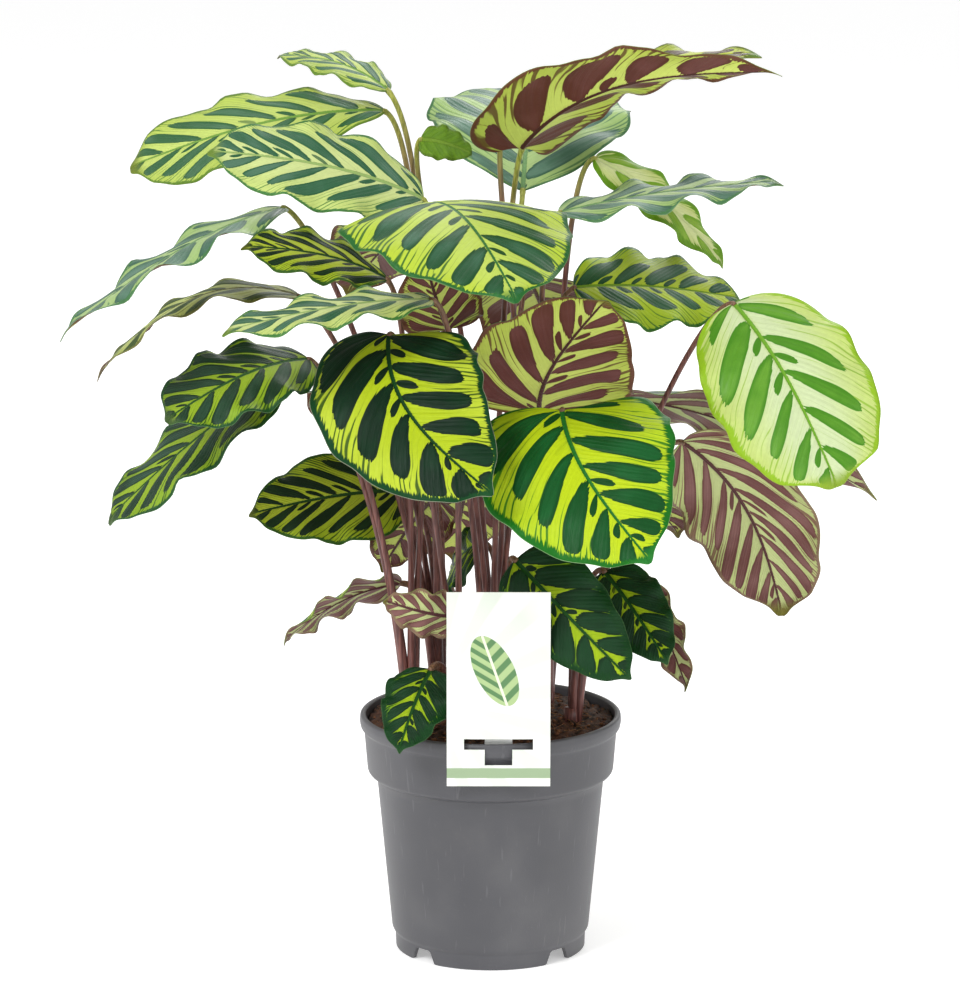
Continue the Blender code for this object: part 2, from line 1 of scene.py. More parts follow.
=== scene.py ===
# %% [markdown]
# A potted calathea, dressed for its portrait.
#
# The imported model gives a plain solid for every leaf, shoot, pot, plug of soil and card. This script
# puts a finer piece in the place of each one and paints it. The leaves take most of the work: their
# pattern of blotches follows the veins, so it is drawn in coordinates that grow with the leaf.

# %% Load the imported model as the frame
from dataclasses import dataclass
from math import cos, pi, radians, sin, tau

import bmesh
import bpy
import numpy as np
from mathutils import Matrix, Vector


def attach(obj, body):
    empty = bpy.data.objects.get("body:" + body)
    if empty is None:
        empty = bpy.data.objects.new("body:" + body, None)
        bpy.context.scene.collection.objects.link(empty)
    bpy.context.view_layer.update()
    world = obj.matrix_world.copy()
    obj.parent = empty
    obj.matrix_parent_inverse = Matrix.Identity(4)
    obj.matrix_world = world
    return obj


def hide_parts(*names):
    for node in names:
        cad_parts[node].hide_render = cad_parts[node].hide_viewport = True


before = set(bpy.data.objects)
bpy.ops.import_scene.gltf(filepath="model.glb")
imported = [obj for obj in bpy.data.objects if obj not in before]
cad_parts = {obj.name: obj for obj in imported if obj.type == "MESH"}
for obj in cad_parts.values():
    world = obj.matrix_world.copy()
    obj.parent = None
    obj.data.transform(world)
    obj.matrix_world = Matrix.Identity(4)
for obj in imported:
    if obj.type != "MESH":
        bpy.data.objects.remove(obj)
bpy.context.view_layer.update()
MM = 0.001
print("nodes in the frame:", len(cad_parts))

# %% [markdown]
# The camera comes first. A plant portrait is taken from a few metres away with a long lens, so that
# near leaves don't swell. The camera stands at the height of a person's chest and looks slightly down
# into the pot.

# %% Camera
CAMERA_PLACE = Vector((0.0, -2.600, 0.811))
CAMERA_TARGET = Vector((-0.0056, 0.0, 0.2472))
CAMERA_LENS = 182.5

camera_data = bpy.data.cameras.new("portrait_camera")
camera_data.lens = CAMERA_LENS
camera_data.sensor_width = 36.0
camera = bpy.data.objects.new("portrait_camera", camera_data)
camera.location = CAMERA_PLACE
camera.rotation_euler = (CAMERA_TARGET - CAMERA_PLACE).to_track_quat("-Z", "Y").to_euler()
bpy.context.scene.collection.objects.link(camera)
bpy.context.scene.camera = camera
print("camera is", round((CAMERA_TARGET - CAMERA_PLACE).length, 2), "m away")

# %% [markdown]
# Plain studio light: a pale sky all round gives the soft sheen on leaves that face up, one large lamp
# from the upper left models the form, and a weaker one from the right opens the shadows. The picture
# is shown with the standard view, which leaves the paints as bright as they were mixed.

# %% Lights
SKY_COLOUR = (1.0, 1.0, 1.0, 1.0)
SKY_STRENGTH = 0.66

world = bpy.data.worlds.new("studio")
world.use_nodes = True
world.node_tree.nodes["Background"].inputs["Color"].default_value = SKY_COLOUR
world.node_tree.nodes["Background"].inputs["Strength"].default_value = SKY_STRENGTH
bpy.context.scene.world = world
bpy.context.scene.view_settings.view_transform = "Standard"


def area_light(name, place, target, size, power):
    """A square area light of the given size in metres and power in watts, aimed at the target."""
    data = bpy.data.lights.new(name, "AREA")
    data.shape = "SQUARE"
    data.size = size
    data.energy = power
    lamp = bpy.data.objects.new(name, data)
    lamp.location = place
    lamp.rotation_euler = (Vector(target) - Vector(place)).to_track_quat("-Z", "Y").to_euler()
    bpy.context.scene.collection.objects.link(lamp)
    return lamp


PLANT_MIDDLE = (0.0, 0.0, 0.28)
area_light("key", (-1.5, -1.7, 2.2), PLANT_MIDDLE, 1.0, 52.0)
area_light("fill", (2.0, -1.8, 1.0), PLANT_MIDDLE, 1.6, 16.0)
area_light("rim", (0.6, 2.2, 1.8), PLANT_MIDDLE, 1.4, 26.0)
print("three lamps and a pale sky")

# %% [markdown]
# A grid of points is the raw material of every piece here. A function of two parameters fills the
# grid, and the faces only join neighbours. The helper below makes the faces for a whole grid at once,
# without a loop over vertices.


# %% Grids and meshes
def grid_quads(rows, columns, wrap=False, start=0):
    """Corner numbers of the quads on a grid of points stored row by row.

    With wrap the last column joins the first, as on a tube. Start is the number of the first point.
    """
    span = columns if wrap else columns - 1
    i, j = np.meshgrid(np.arange(rows - 1), np.arange(span), indexing="ij")
    right = (j + 1) % columns
    quads = np.stack([i * columns + j, i * columns + right, (i + 1) * columns + right, (i + 1) * columns + j], -1)
    return quads.reshape(-1, 4) + start


def mesh_object(name, points, faces, smooth=True):
    """An object at the origin from points in millimetres and a list of faces."""
    mesh = bpy.data.meshes.new(name)
    mesh.from_pydata((np.asarray(points, float) * MM).tolist(), [], [list(map(int, face)) for face in faces])
    mesh.update()
    if smooth:
        mesh.shade_smooth()
    item = bpy.data.objects.new(name, mesh)
    bpy.context.scene.collection.objects.link(item)
    return item


def dress(item, node, materials):
    """Let the item stand for the node of the frame, with its materials."""
    for material in materials:
        item.data.materials.append(material)
    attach(item, "root")
    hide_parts(node)
    return item


# %% [markdown]
# The floor is a large pale plane. It reaches far behind the plant, because the camera looks down only
# twelve degrees and nothing else fills the picture behind the leaves. Like a light table it glows a
# little, so that it stays white where the lamps don't reach.

# %% Floor
FLOOR_HALF = 9000.0

floor_points = [(-FLOOR_HALF, -FLOOR_HALF, 0), (FLOOR_HALF, -FLOOR_HALF, 0)]
floor_points += [(FLOOR_HALF, FLOOR_HALF, 0), (-FLOOR_HALF, FLOOR_HALF, 0)]
floor = mesh_object("studio_floor", floor_points, [(0, 1, 2, 3)], smooth=False)
floor_material = bpy.data.materials.new("studio_floor")
floor_material.use_nodes = True
floor_shader = floor_material.node_tree.nodes["Principled BSDF"]
floor_shader.inputs["Base Color"].default_value = (0.9, 0.9, 0.9, 1.0)
floor_shader.inputs["Roughness"].default_value = 0.9
floor_shader.inputs["Emission Color"].default_value = (1.0, 1.0, 1.0, 1.0)
floor_shader.inputs["Emission Strength"].default_value = 0.36
floor.data.materials.append(floor_material)

# %% [markdown]
# A leaf's pattern is a formula, and a formula is easier to read as a line of sums than as a web of
# nodes. The small class below lets a shader value be written with the usual signs: each sign adds one
# Math node to the tree.


# %% Formulas for shaders
class Wire:
    """A value in a node tree. Plus, minus, times and divide add Math nodes."""

    def __init__(self, tree, socket):
        self.tree = tree
        self.socket = socket

    def math(self, operation, *others, clamp=False):
        """The result of a Math node whose first input is this value."""
        node = self.tree.nodes.new("ShaderNodeMath")
        node.operation = operation
        node.use_clamp = clamp
        for place, value in enumerate((self, *others)):
            plug(self.tree, value, node.inputs[place])
        return Wire(self.tree, node.outputs[0])

    def __add__(self, other):
        return self.math("ADD", other)

    def __sub__(self, other):
        return self.math("SUBTRACT", other)

    def __mul__(self, other):
        return self.math("MULTIPLY", other)

    def __truediv__(self, other):
        return self.math("DIVIDE", other)

    def step(self, low, high):
        """Zero below low, one above high, and a smooth rise between them."""
        node = self.tree.nodes.new("ShaderNodeMapRange")
        node.interpolation_type = "SMOOTHSTEP"
        plug(self.tree, self, node.inputs["Value"])
        plug(self.tree, low, node.inputs["From Min"])
        plug(self.tree, high, node.inputs["From Max"])
        return Wire(self.tree, node.outputs["Result"])


def plug(tree, value, socket):
    """Connect a Wire to the socket, or write a plain number into it."""
    if isinstance(value, Wire):
        tree.links.new(value.socket, socket)
    else:
        socket.default_value = value


def vector(tree, x, y, z):
    """A vector made of three values."""
    node = tree.nodes.new("ShaderNodeCombineXYZ")
    for value, socket in zip((x, y, z), node.inputs):
        plug(tree, value, socket)
    return Wire(tree, node.outputs[0])


def noise(tree, place, scale, detail=2.0, dimensions="3D"):
    """Perlin noise from 0 to 1 at the place."""
    node = tree.nodes.new("ShaderNodeTexNoise")
    node.noise_dimensions = dimensions
    plug(tree, place, node.inputs["Vector"])
    node.inputs["Scale"].default_value = scale
    node.inputs["Detail"].default_value = detail
    return Wire(tree, node.outputs["Fac"])


def uv_map(tree, name):
    """The two coordinates of a named UV map."""
    node = tree.nodes.new("ShaderNodeUVMap")
    node.uv_map = name
    split = tree.nodes.new("ShaderNodeSeparateXYZ")
    tree.links.new(node.outputs["UV"], split.inputs[0])
    return Wire(tree, split.outputs["X"]), Wire(tree, split.outputs["Y"])


def attribute(tree, name):
    """A number that the mesh stores at each of its points."""
    node = tree.nodes.new("ShaderNodeAttribute")
    node.attribute_name = name
    return Wire(tree, node.outputs["Fac"])


def object_place(tree):
    """The point's place on the object, in metres."""
    node = tree.nodes.new("ShaderNodeTexCoord")
    return Wire(tree, node.outputs["Object"])


def mix(tree, mask, first, second):
    """The first colour where the mask is zero, and the second where it is one."""
    node = tree.nodes.new("ShaderNodeMix")
    node.data_type = "RGBA"
    plug(tree, mask, node.inputs["Factor"])
    for value, socket in ((first, node.inputs["A"]), (second, node.inputs["B"])):
        if not isinstance(value, Wire):
            value = paint(value)
        plug(tree, value, node.inputs[6] if socket == node.inputs["A"] else node.inputs[7])
    return Wire(tree, node.outputs[2])


def paint(colour):
    """A colour given as red, green and blue from 0 to 255 as screens show it, made linear."""
    share = np.array(colour, float) / 255.0
    linear = np.where(share <= 0.04045, share / 12.92, ((share + 0.055) / 1.055) ** 2.4)
    return (*linear.tolist(), 1.0)


def bump(tree, height, distance, strength=1.0):
    """A bumped normal from a height between 0 and 1 and the distance in metres that one stands for."""
    node = tree.nodes.new("ShaderNodeBump")
    node.inputs["Strength"].default_value = strength
    node.inputs["Distance"].default_value = distance
    plug(tree, height, node.inputs["Height"])
    return Wire(tree, node.outputs["Normal"])


def new_material(name, roughness, specular=0.5):
    """A material with its Principled shader and its tree."""
    material = bpy.data.materials.new(name)
    material.use_nodes = True
    shader = material.node_tree.nodes["Principled BSDF"]
    shader.inputs["Roughness"].default_value = roughness
    shader.inputs["Specular IOR Level"].default_value = specular
    return material, material.node_tree, shader


def new_group(name, inputs, outputs):
    """An empty node group with named inputs and outputs, and its two end nodes."""
    tree = bpy.data.node_groups.new(name, "ShaderNodeTree")
    for title, kind, value in inputs:
        socket = tree.interface.new_socket(title, in_out="INPUT", socket_type=kind)
        socket.default_value = value
    for title, kind in outputs:
        tree.interface.new_socket(title, in_out="OUTPUT", socket_type=kind)
    return tree, tree.nodes.new("NodeGroupInput"), tree.nodes.new("NodeGroupOutput")


def use_group(tree, group, **values):
    """Place a node group in the tree and set its inputs. Spaces in their names are underscores."""
    node = tree.nodes.new("ShaderNodeGroup")
    node.node_tree = group
    for name, value in values.items():
        plug(tree, value, node.inputs[name.replace("_", " ")])
    return node


print("formula helpers are ready")

# %% [markdown]
# Every leaf is one oval blade on a long stalk. A blade is set by where its foot and tip are, which way
# its upper face looks, and how wide it is. The table repeats the places that the frame's solids were
# built from, in millimetres, because a finer blade has to lie in the same place as its solid. The last
# words say how the leaf is painted above and below.


# %% The leaves, one line each
FOOT_POWER = 0.34
TIP_POWER = 0.66


@dataclass
class Leaf:
    """One leaf: its shoot, the blade's foot and tip, the way the upper face looks, and its paint."""

    name: str
    shoot: str
    base: tuple
    tip: tuple
    face: tuple
    width: float
    arch: float = 8.0
    sway: float = 0.0
    twist: float = 0.0
    cup: float = 0.12
    curl: float = -0.18
    wave: float = 2.5
    shoulder: float = FOOT_POWER
    taper: float = TIP_POWER
    lobe: float = 0.0
    knee: float = 18.0
    look: str = "pale"
    under: str = "maroon"
    rows: float = 0.18
    shift: float = 0.0
    lean: float = 1.0


LEAVES = [
    Leaf("leaf_top_1", "shoot_left_back", (-54, 34, 458), (-114, 64, 474), (0, -15, 100), 36,
         arch=6, wave=2, shoulder=0.5, knee=28, rows=0.2, lean=2.0),
    Leaf("leaf_top_2", "shoot_left_back", (-56, 44, 446), (-193, 44, 416), (0, -66, 100), 54,
         arch=10, twist=-10, wave=3, shoulder=0.6, taper=0.42, rows=0.15, shift=0.03, lean=1.9),
    Leaf("leaf_top_3", "shoot_left", (-35, 8, 404), (-147, -18, 434), (10, -90, 100), 56,
         arch=9, wave=3.5, shoulder=0.45, taper=0.55, look="clear", rows=0.15, shift=0.02, lean=1.8),
    Leaf("leaf_top_4", "shoot_back", (17, 38, 404), (24, 152, 443), (0, -60, 100), 110,
         arch=12, cup=0.2, shoulder=0.75, taper=0.6, look="grey_sheen", rows=0.15),
    Leaf("leaf_top_5", "shoot_back", (-37, 14, 435), (-9, 10, 428), (0, -90, 60), 20,
         arch=4, wave=1.5, look="plain"),
    Leaf("leaf_top_6", "shoot_centre", (16, -15, 434), (148, -70, 482), (0, 55, 100), 70,
         arch=8, sway=22, cup=0.42, wave=2.5, shoulder=0.26, taper=0.9, lobe=0.6, rows=0.2, lean=1.2),
    Leaf("leaf_top_7", "shoot_right_back", (36, -10, 400), (154, 10, 414), (0, -15, 100), 42,
         arch=3, wave=4.5, look="grey_sheen", rows=0.2, lean=2.4),
    Leaf("leaf_top_8", "shoot_right_back", (55, 36, 422), (126, 45, 362), (60, -70, 60), 28,
         arch=8, wave=3, look="young", rows=0.3, lean=2.4),
    Leaf("leaf_top_9", "shoot_right_back", (8, 24, 446), (142, 15, 481), (0, -15, 100), 52,
         arch=10, wave=4.5, look="olive", rows=0.2),
    Leaf("leaf_front_1", "shoot_centre", (-34, -25, 407), (13, -150, 379), (3, -22, 100), 120,
         arch=14, cup=0.02, shoulder=0.3, lobe=0.2, look="ripe", shift=0.05),
    Leaf("leaf_left_1", "shoot_left", (-54, -12, 365), (-129, -36, 387), (0, -60, 100), 40,
         arch=6, wave=3, shoulder=0.7, look="stripe", rows=0.17, lean=2.3),
    Leaf("leaf_left_2", "shoot_left_back", (-109, 20, 398), (-219, -110, 352), (-44, -20, 88), 40,
         arch=8, twist=30, wave=4.5, shoulder=0.45, look="grey_sheen", rows=0.2, lean=2.4),
    Leaf("leaf_left_3", "shoot_left_back", (-101, 10, 352), (-209, -10, 312), (-34, -6, 94), 34,
         arch=20, twist=25, wave=3, shoulder=0.45, look="dusky", rows=0.2, lean=2.4),
    Leaf("leaf_left_4", "shoot_front_left", (-30, -61, 363), (-137, -92, 352), (0, -22, 100), 38,
         arch=4, wave=3.5, taper=0.45, look="clear", lean=2.0),
    Leaf("leaf_left_5", "shoot_left", (-95, -15, 323), (-167, -70, 302), (-20, -75, 100), 56,
         arch=8, wave=3.5, shoulder=0.4, taper=0.45, look="shade", rows=0.17, lean=1.4),
    Leaf("leaf_left_6", "shoot_left", (-102, 0, 313), (-203, -20, 237), (-40, -40, 100), 54,
         arch=6, wave=3.5, shoulder=0.45, taper=0.45, look="shade", rows=0.15, lean=1.8),
    Leaf("leaf_left_7", "shoot_left_back", (-47, 44, 240), (-130, 26, 231), (0, -130, 100), 56,
         arch=6, look="stripe", rows=0.17, lean=1.8),
    Leaf("leaf_front_2", "shoot_front_left", (-52, -50, 343), (1, -125, 275), (-10, -100, 50), 90,
         sway=14, shoulder=0.28, lobe=0.12, look="deep", rows=0.185),
    Leaf("leaf_front_3", "shoot_front_right", (37, -60, 305), (81, -130, 241), (0, -100, 60), 105,
         sway=8, shoulder=0.28, lobe=0.3, look="fresh", shift=0.03),
    Leaf("leaf_front_4", "shoot_right_back", (26, -8, 294), (60, -70, 366), (-5, 100, 40), 92,
         arch=-6, sway=9, look="shade", rows=0.19, lean=1.3),
    Leaf("leaf_front_5", "shoot_front_left", (-22, -20, 340), (-34, -34, 380), (0, 80, 60), 46,
         arch=-4, look="shade"),
    Leaf("leaf_right_1", "shoot_right", (127, -10, 352), (179, -70, 267), (20, -100, 60), 88,
         sway=-2, shoulder=0.42, taper=0.42, lobe=0.1, look="cream", rows=0.195, shift=0.03, lean=1.2),
    Leaf("leaf_right_2", "shoot_centre", (44, 15, 356), (134, 28, 348), (0, -55, 100), 64,
         arch=4, wave=3.5, shoulder=0.4, look="oval", rows=0.19, shift=0.05, lean=1.1),
    Leaf("leaf_right_3", "shoot_right", (101, 0, 276), (158, 40, 173), (30, 100, 50), 74,
         arch=6, sway=10, wave=3.5, taper=0.5, under="mauve", rows=0.13, lean=2.0),
    Leaf("leaf_right_4", "shoot_right", (59, 40, 292), (213, 90, 227), (0, 58, 100), 52,
         arch=12, wave=4.5, under="mauve", rows=0.14, lean=2.4),
    Leaf("leaf_low_1", "shoot_left_back", (-48, 22, 194), (-112, -5, 168), (0, 67, 100), 44,
         arch=6, wave=3, under="mauve", lean=2.0),
    Leaf("leaf_low_2", "shoot_front_left", (-15, -50, 193), (-56, -62, 205), (-10, 100, 40), 30,
         arch=-3, under="mauve", lean=1.4),
    Leaf("leaf_low_3", "shoot_front_left", (-31, -44, 163), (-48, -77, 127), (-30, -100, 50), 38,
         arch=4, look="dark"),
    Leaf("leaf_low_4", "shoot_front_right", (13, -44, 222), (73, -74, 165), (-10, -100, 20), 50,
         arch=6, look="dark"),
    Leaf("leaf_low_5", "shoot_right", (60, -15, 209), (93, -50, 168), (10, -100, 60), 40,
         arch=4, look="dark"),
    Leaf("leaf_low_6", "shoot_right", (73, 10, 205), (106, 0, 140), (60, 80, 60), 34, arch=4, under="mauve"),
    Leaf("leaf_low_7", "shoot_left_back", (-31, 56, 233), (-60, 94, 185), (0, 80, 60), 44,
         arch=4, look="shade"),
    Leaf("leaf_low_8", "shoot_back", (-5, 62, 207), (-24, 98, 177), (0, -60, 60), 46, arch=4, look="dark"),
    Leaf("leaf_back_1", "shoot_back", (-30, 70, 380), (-80, 150, 330), (-10, 60, 100), 80, arch=10),
    Leaf("leaf_back_2", "shoot_back", (20, 80, 350), (40, 150, 270), (10, 80, 80), 74, arch=10, look="fresh"),
    Leaf("leaf_back_3", "shoot_right_back", (62, 80, 285), (190, 130, 262), (0, 18, 100), 70, arch=6),
    Leaf("leaf_back_4", "shoot_left_back", (-60, 60, 300), (-80, 130, 255), (-40, 60, 100), 64,
         arch=10, look="deep"),
    Leaf("leaf_back_5", "shoot_right_back", (60, 70, 240), (105, 115, 200), (20, 60, 100), 62,
         arch=8, look="shade"),
    Leaf("leaf_back_6", "shoot_back", (-10, 80, 240), (-20, 140, 180), (-10, 80, 80), 70, arch=8),
]
print("leaves:", len(LEAVES))

# %% [markdown]
# A blade is a surface over two parameters. The first, s, runs along the midrib from foot to tip. The
# second, v, runs across it from -1 at one margin to 1 at the other. The midrib is bent first, then the
# two halves rise from it, curl over, and wave more and more towards the margin.

# %% The blade as a surface
WIDE_LEAF = 70.0
FIRST_ROW = 0.0015
LAST_ROW = 0.998
BLADE_WAVES = 3.5
LOBE_LENGTH = 0.12
LEAST_HALF_WIDTH = 0.45
FINE_WAVES = 9.0
FINE_WAVE = 0.9
PLEAT = 0.4
OUTLINE_WAVE = 0.015
TIP_PINCH = 0.5
TIP_HOOK = 3.0
BLADE_THICKNESS = 0.5
RIB_DEPTH = 1.1
RIB_REACH = 1.1


def unit(v):
    """The vector v made one long."""
    v = np.asarray(v, float)
    return v / np.linalg.norm(v)


def midrib(leaf, s):
    """Points and side, normal and slope directions of the midrib at the shares s of its length.

    The midrib is the straight line from foot to tip, plus sin(pi s^0.85) times an arch along the upper
    face's direction and a sway to the side. The twist turns the normal about the midrib.
    """
    base = np.array(leaf.base, float)
    chord = np.array(leaf.tip, float) - base
    along = unit(chord)
    face = np.array(leaf.face, float)
    up = unit(face - face.dot(along) * along)
    side = np.cross(along, up)
    roll = radians(leaf.twist) * (s - 0.5)[:, None]
    bow = np.sin(pi * s**0.85)[:, None]
    points = base + s[:, None] * chord + bow * (leaf.arch * up + leaf.sway * side)
    slope = np.gradient(points, s, axis=0)
    slope /= np.linalg.norm(slope, axis=1)[:, None]
    tilted = np.cos(roll) * up + np.sin(roll) * side
    normal = tilted - (slope * tilted).sum(axis=1)[:, None] * slope
    normal /= np.linalg.norm(normal, axis=1)[:, None]
    return points, np.cross(slope, normal), normal, slope


def half_width(leaf, s):
    """Half the width: s^shoulder (1-s)^taper scaled to peak at half of the leaf's width.

    The last twentieth is pinched to make the drip tip.
    """
    peak_at = leaf.shoulder / (leaf.shoulder + leaf.taper)
    peak = peak_at**leaf.shoulder * (1.0 - peak_at) ** leaf.taper
    half = leaf.width / 2.0 * s**leaf.shoulder * (1.0 - s) ** leaf.taper / peak
    pinch = np.clip((s - 0.9) / 0.08, 0.0, 1.0)
    return np.maximum(half * (1.0 - TIP_PINCH * pinch**2 * (3.0 - 2.0 * pinch)), LEAST_HALF_WIDTH)


def blade_surface(leaf, s, v, number):
    """The blade's middle surface and its normals on the grid of s and v.

    Lift is cup |v| + curl v^2 times the half width, plus waves that grow with |v|: the broad one of the
    solid and a finer one, uneven in height, that only the margin shows. The blade also swells between
    its side veins, its outline wanders a little, and the tip hooks down.
    """
    points, side, normal, slope = midrib(leaf, s)
    half = half_width(leaf, s)[:, None]
    out = np.abs(v)[None, :]
    ends = np.sin(pi * s)[:, None] ** 0.6
    offset = np.where(v > 0, 1.9, 0.0)[None, :]
    turn = tau * s[:, None]
    broad = np.sin(BLADE_WAVES * turn + offset)
    uneven = 0.6 + 0.4 * np.sin(2.3 * turn + 1.7 * offset + 2.0 * number)
    fine = np.sin(FINE_WAVES * turn + 2.3 * offset + number) * uneven
    fine_height = FINE_WAVE * min(1.0, leaf.width / 50.0) * (0.3 if leaf.width > WIDE_LEAF else 1.0)
    row, _ = vein_coordinates(leaf, s, v, number, half)
    swell = PLEAT * np.sin(2.0 * tau * row) * out**0.7 * (1.0 - out**4) * np.clip(half / 12.0, 0.0, 1.0)
    lift = leaf.cup * out * half + leaf.curl * out**2 * half + swell
    lift = lift + (leaf.wave * broad * out**2.5 + fine_height * fine * out**4) * ends
    lift = lift - TIP_HOOK * (np.maximum(s - 0.93, 0.0) / 0.07)[:, None] ** 2
    lean = np.sqrt(np.clip(1.0 - (leaf.cup + leaf.curl * out) ** 2, 0.3, 1.0))
    wander = 1.0 + OUTLINE_WAVE * np.sin(5.3 * turn + offset + number) * out**2
    reach = v[None, :] * half * lean * wander
    back = leaf.lobe * half * out**1.5 * np.exp(-s / LOBE_LENGTH)[:, None]
    middle = points[:, None] + reach[..., None] * side[:, None] - back[..., None] * slope[:, None]
    middle = middle + lift[..., None] * normal[:, None]
    along = np.gradient(middle, axis=0)
    across = np.gradient(middle, axis=1)
    facing = np.cross(along, across)
    facing /= np.maximum(np.linalg.norm(facing, axis=2), 1e-9)[..., None]
    facing *= np.sign((facing * normal[:, None]).sum(axis=2))[..., None]
    return middle, facing, half


# %% [markdown]
# The blotches of a peacock leaf lie along its side veins. A side vein leaves the midrib at about sixty
# degrees and bends towards the tip as it nears the margin, and the veins at the foot spread like a fan.
# So each point gets two more numbers: row says which vein it lies on, counted in blotches from the
# foot, and out says how far along that vein it is, from 0 where the blotch starts to 1 where it ends.
# They are stored as a UV map. The two halves of a leaf have their blotches out of step, so the map has
# a seam along the midrib.

# %% Vein coordinates
VEIN_LEAN = 0.6
VEIN_LEAN_GAIN = 0.5
VEIN_BEND = 0.2
FAN_REACH = 0.6
BLOTCH_START = 0.01
BLOTCH_END = 0.8
ROWS_APART = 20.0
HALF_APART = 9.0


def vein_coordinates(leaf, s, v, number, half, right=None):
    """Row and out on the grid. Right says which half's count to use at the midrib, if not v's own.

    At the distance d from the midrib, counted in half widths, a vein from the share q of the midrib has
    reached s = q + steep ((0.6 + 0.5 q) d + 0.2 d^2), where steep is half the width over the length,
    times the leaf's own lean.
    Solved for q this gives the row. A negative q belongs to the fan about the foot.
    """
    length = np.linalg.norm(np.subtract(leaf.tip, leaf.base))
    steep = leaf.lean * leaf.width / 2.0 / length
    broad = half / (leaf.width / 2.0)
    d = np.abs(v)[None, :] * broad
    bent = VEIN_LEAN * d + VEIN_BEND * d**2
    q = (s[:, None] - steep * bent) / (1.0 + VEIN_LEAN_GAIN * steep * d)
    fan = FAN_REACH * (s[:, None] / np.maximum(d, 1e-6) - steep * (VEIN_LEAN + VEIN_BEND * d))
    q = np.where(q < 0.0, fan, q)
    out = (d - BLOTCH_START) / np.maximum(BLOTCH_END * broad - BLOTCH_START, 0.02)
    is_right = (v > 0)[None, :] if right is None else right
    step = np.where(is_right, 0.5 + HALF_APART, 0.0)
    return (q - leaf.shift) / leaf.rows + step + ROWS_APART * (number + 1), out


def build_blade(leaf, number, materials):
    """One leaf blade: an upper and a lower skin joined at the margin, with its vein coordinates."""
    blade_rows, blade_columns = (110, 56) if leaf.width > WIDE_LEAF else (72, 40)
    s = FIRST_ROW + (LAST_ROW - FIRST_ROW) * (0.5 - 0.5 * np.cos(pi * np.linspace(0.0, 1.0, blade_rows + 1)))
    t = np.linspace(-1.0, 1.0, blade_columns + 1)
    v = np.sign(t) * np.abs(t) ** 1.4
    middle, facing, half = blade_surface(leaf, s, v, number)
    distance = np.abs(v)[None, :] * half
    edge = half - distance
    thin = 0.45 + 0.55 * np.clip(edge / 4.0, 0.0, 1.0)
    rib = RIB_DEPTH * (1.0 - 0.8 * s)[:, None] * np.exp(-((distance / RIB_REACH) ** 2))
    rib = rib * np.clip(half / 6.0, 0.0, 1.0)
    groove = 0.25 * np.exp(-((distance / 0.9) ** 2)) * np.clip(half / 6.0, 0.0, 1.0)
    upper = middle + ((BLADE_THICKNESS / 2 * thin - groove)[..., None]) * facing
    lower = middle - ((BLADE_THICKNESS / 2 * thin + rib)[..., None]) * facing
    rows, columns = s.size, v.size
    count = rows * columns
    top = grid_quads(rows, columns)
    bottom = top[:, ::-1] + count
    ring = np.concatenate(
        [
            np.arange(columns),
            np.arange(1, rows) * columns + columns - 1,
            (rows - 1) * columns + np.arange(columns - 2, -1, -1),
            np.arange(rows - 2, 0, -1) * columns,
        ]
    )
    after = np.roll(ring, -1)
    rim = np.stack([after, ring, ring + count, after + count], -1)
    first, second = middle[rows // 2, columns // 2], middle[rows // 2, columns // 2 + 1]
    third = middle[rows // 2 + 1, columns // 2]
    flip = np.cross(second - first, third - first).dot(facing[rows // 2, columns // 2]) < 0
    quads = np.concatenate([top, bottom, rim])
    if flip:
        quads = quads[:, ::-1]
    item = mesh_object(leaf.name + "_blade", np.concatenate([upper.reshape(-1, 3), lower.reshape(-1, 3)]), quads)
    below = np.zeros(len(quads), int)
    below[len(top) : len(top) + len(bottom)] = 1
    item.data.polygons.foreach_set("material_index", below)
    corners = quads.reshape(-1) % count
    column = (quads % count) % columns
    right = np.repeat(column.mean(axis=1) > columns // 2, 4)
    growth = np.stack(np.broadcast_arrays((v[None, :] + 1.0) / 2.0, s[:, None]), -1).reshape(-1, 2)
    left_map = np.stack(vein_coordinates(leaf, s, v, number, half, False), -1).reshape(-1, 2)
    right_map = np.stack(vein_coordinates(leaf, s, v, number, half, True), -1).reshape(-1, 2)
    veins = np.where(right[:, None], right_map[corners], left_map[corners])
    for title, values in (("growth", growth[corners]), ("veins", veins)):
        layer = item.data.uv_layers.new(name=title)
        layer.data.foreach_set("uv", values.astype(np.float32).reshape(-1))
    for title, values in (("rib_distance", distance), ("edge_distance", edge)):
        layer = item.data.attributes.new(title, "FLOAT", "POINT")
        layer.data.foreach_set("value", np.tile(values.reshape(-1), 2).astype(np.float32))
    return dress(item, leaf.name, materials)


# %% [markdown]
# The pattern itself. Near each whole number of row lies one blotch: it starts thin at the midrib, is
# widest at two thirds of its length, closes in a blunt end, and a thin tail runs on to the margin.
# Halfway between two blotches sits a small one close to the midrib, on some veins only. Fine dark
# lines fill the ground and thicken towards the margin. Noise that frays the edges is stretched along
# the veins. The same masks serve the upper and the lower side, because the pattern shows through.

# %% The pattern as a node group
LINES_PER_ROW = 6.0
PATTERN_INPUTS = [
    ("Fill", "NodeSocketFloat", 0.3),
    ("Small", "NodeSocketFloat", 0.5),
    ("Margin", "NodeSocketFloat", 2.0),
    ("Length", "NodeSocketFloat", 1.0),
    ("Lines", "NodeSocketFloat", 0.6),
]
PATTERN_OUTPUTS = [
    ("Blotch", "NodeSocketFloat"),
    ("Blotch_Sheen", "NodeSocketFloat"),
    ("Streak", "NodeSocketFloat"),
    ("Margin", "NodeSocketFloat"),
    ("Rim_And_Highlight", "NodeSocketFloat"),
    ("Midrib", "NodeSocketFloat"),
    ("Halo", "NodeSocketFloat"),
    ("Fibre", "NodeSocketFloat"),
    ("Relief", "NodeSocketFloat"),
]


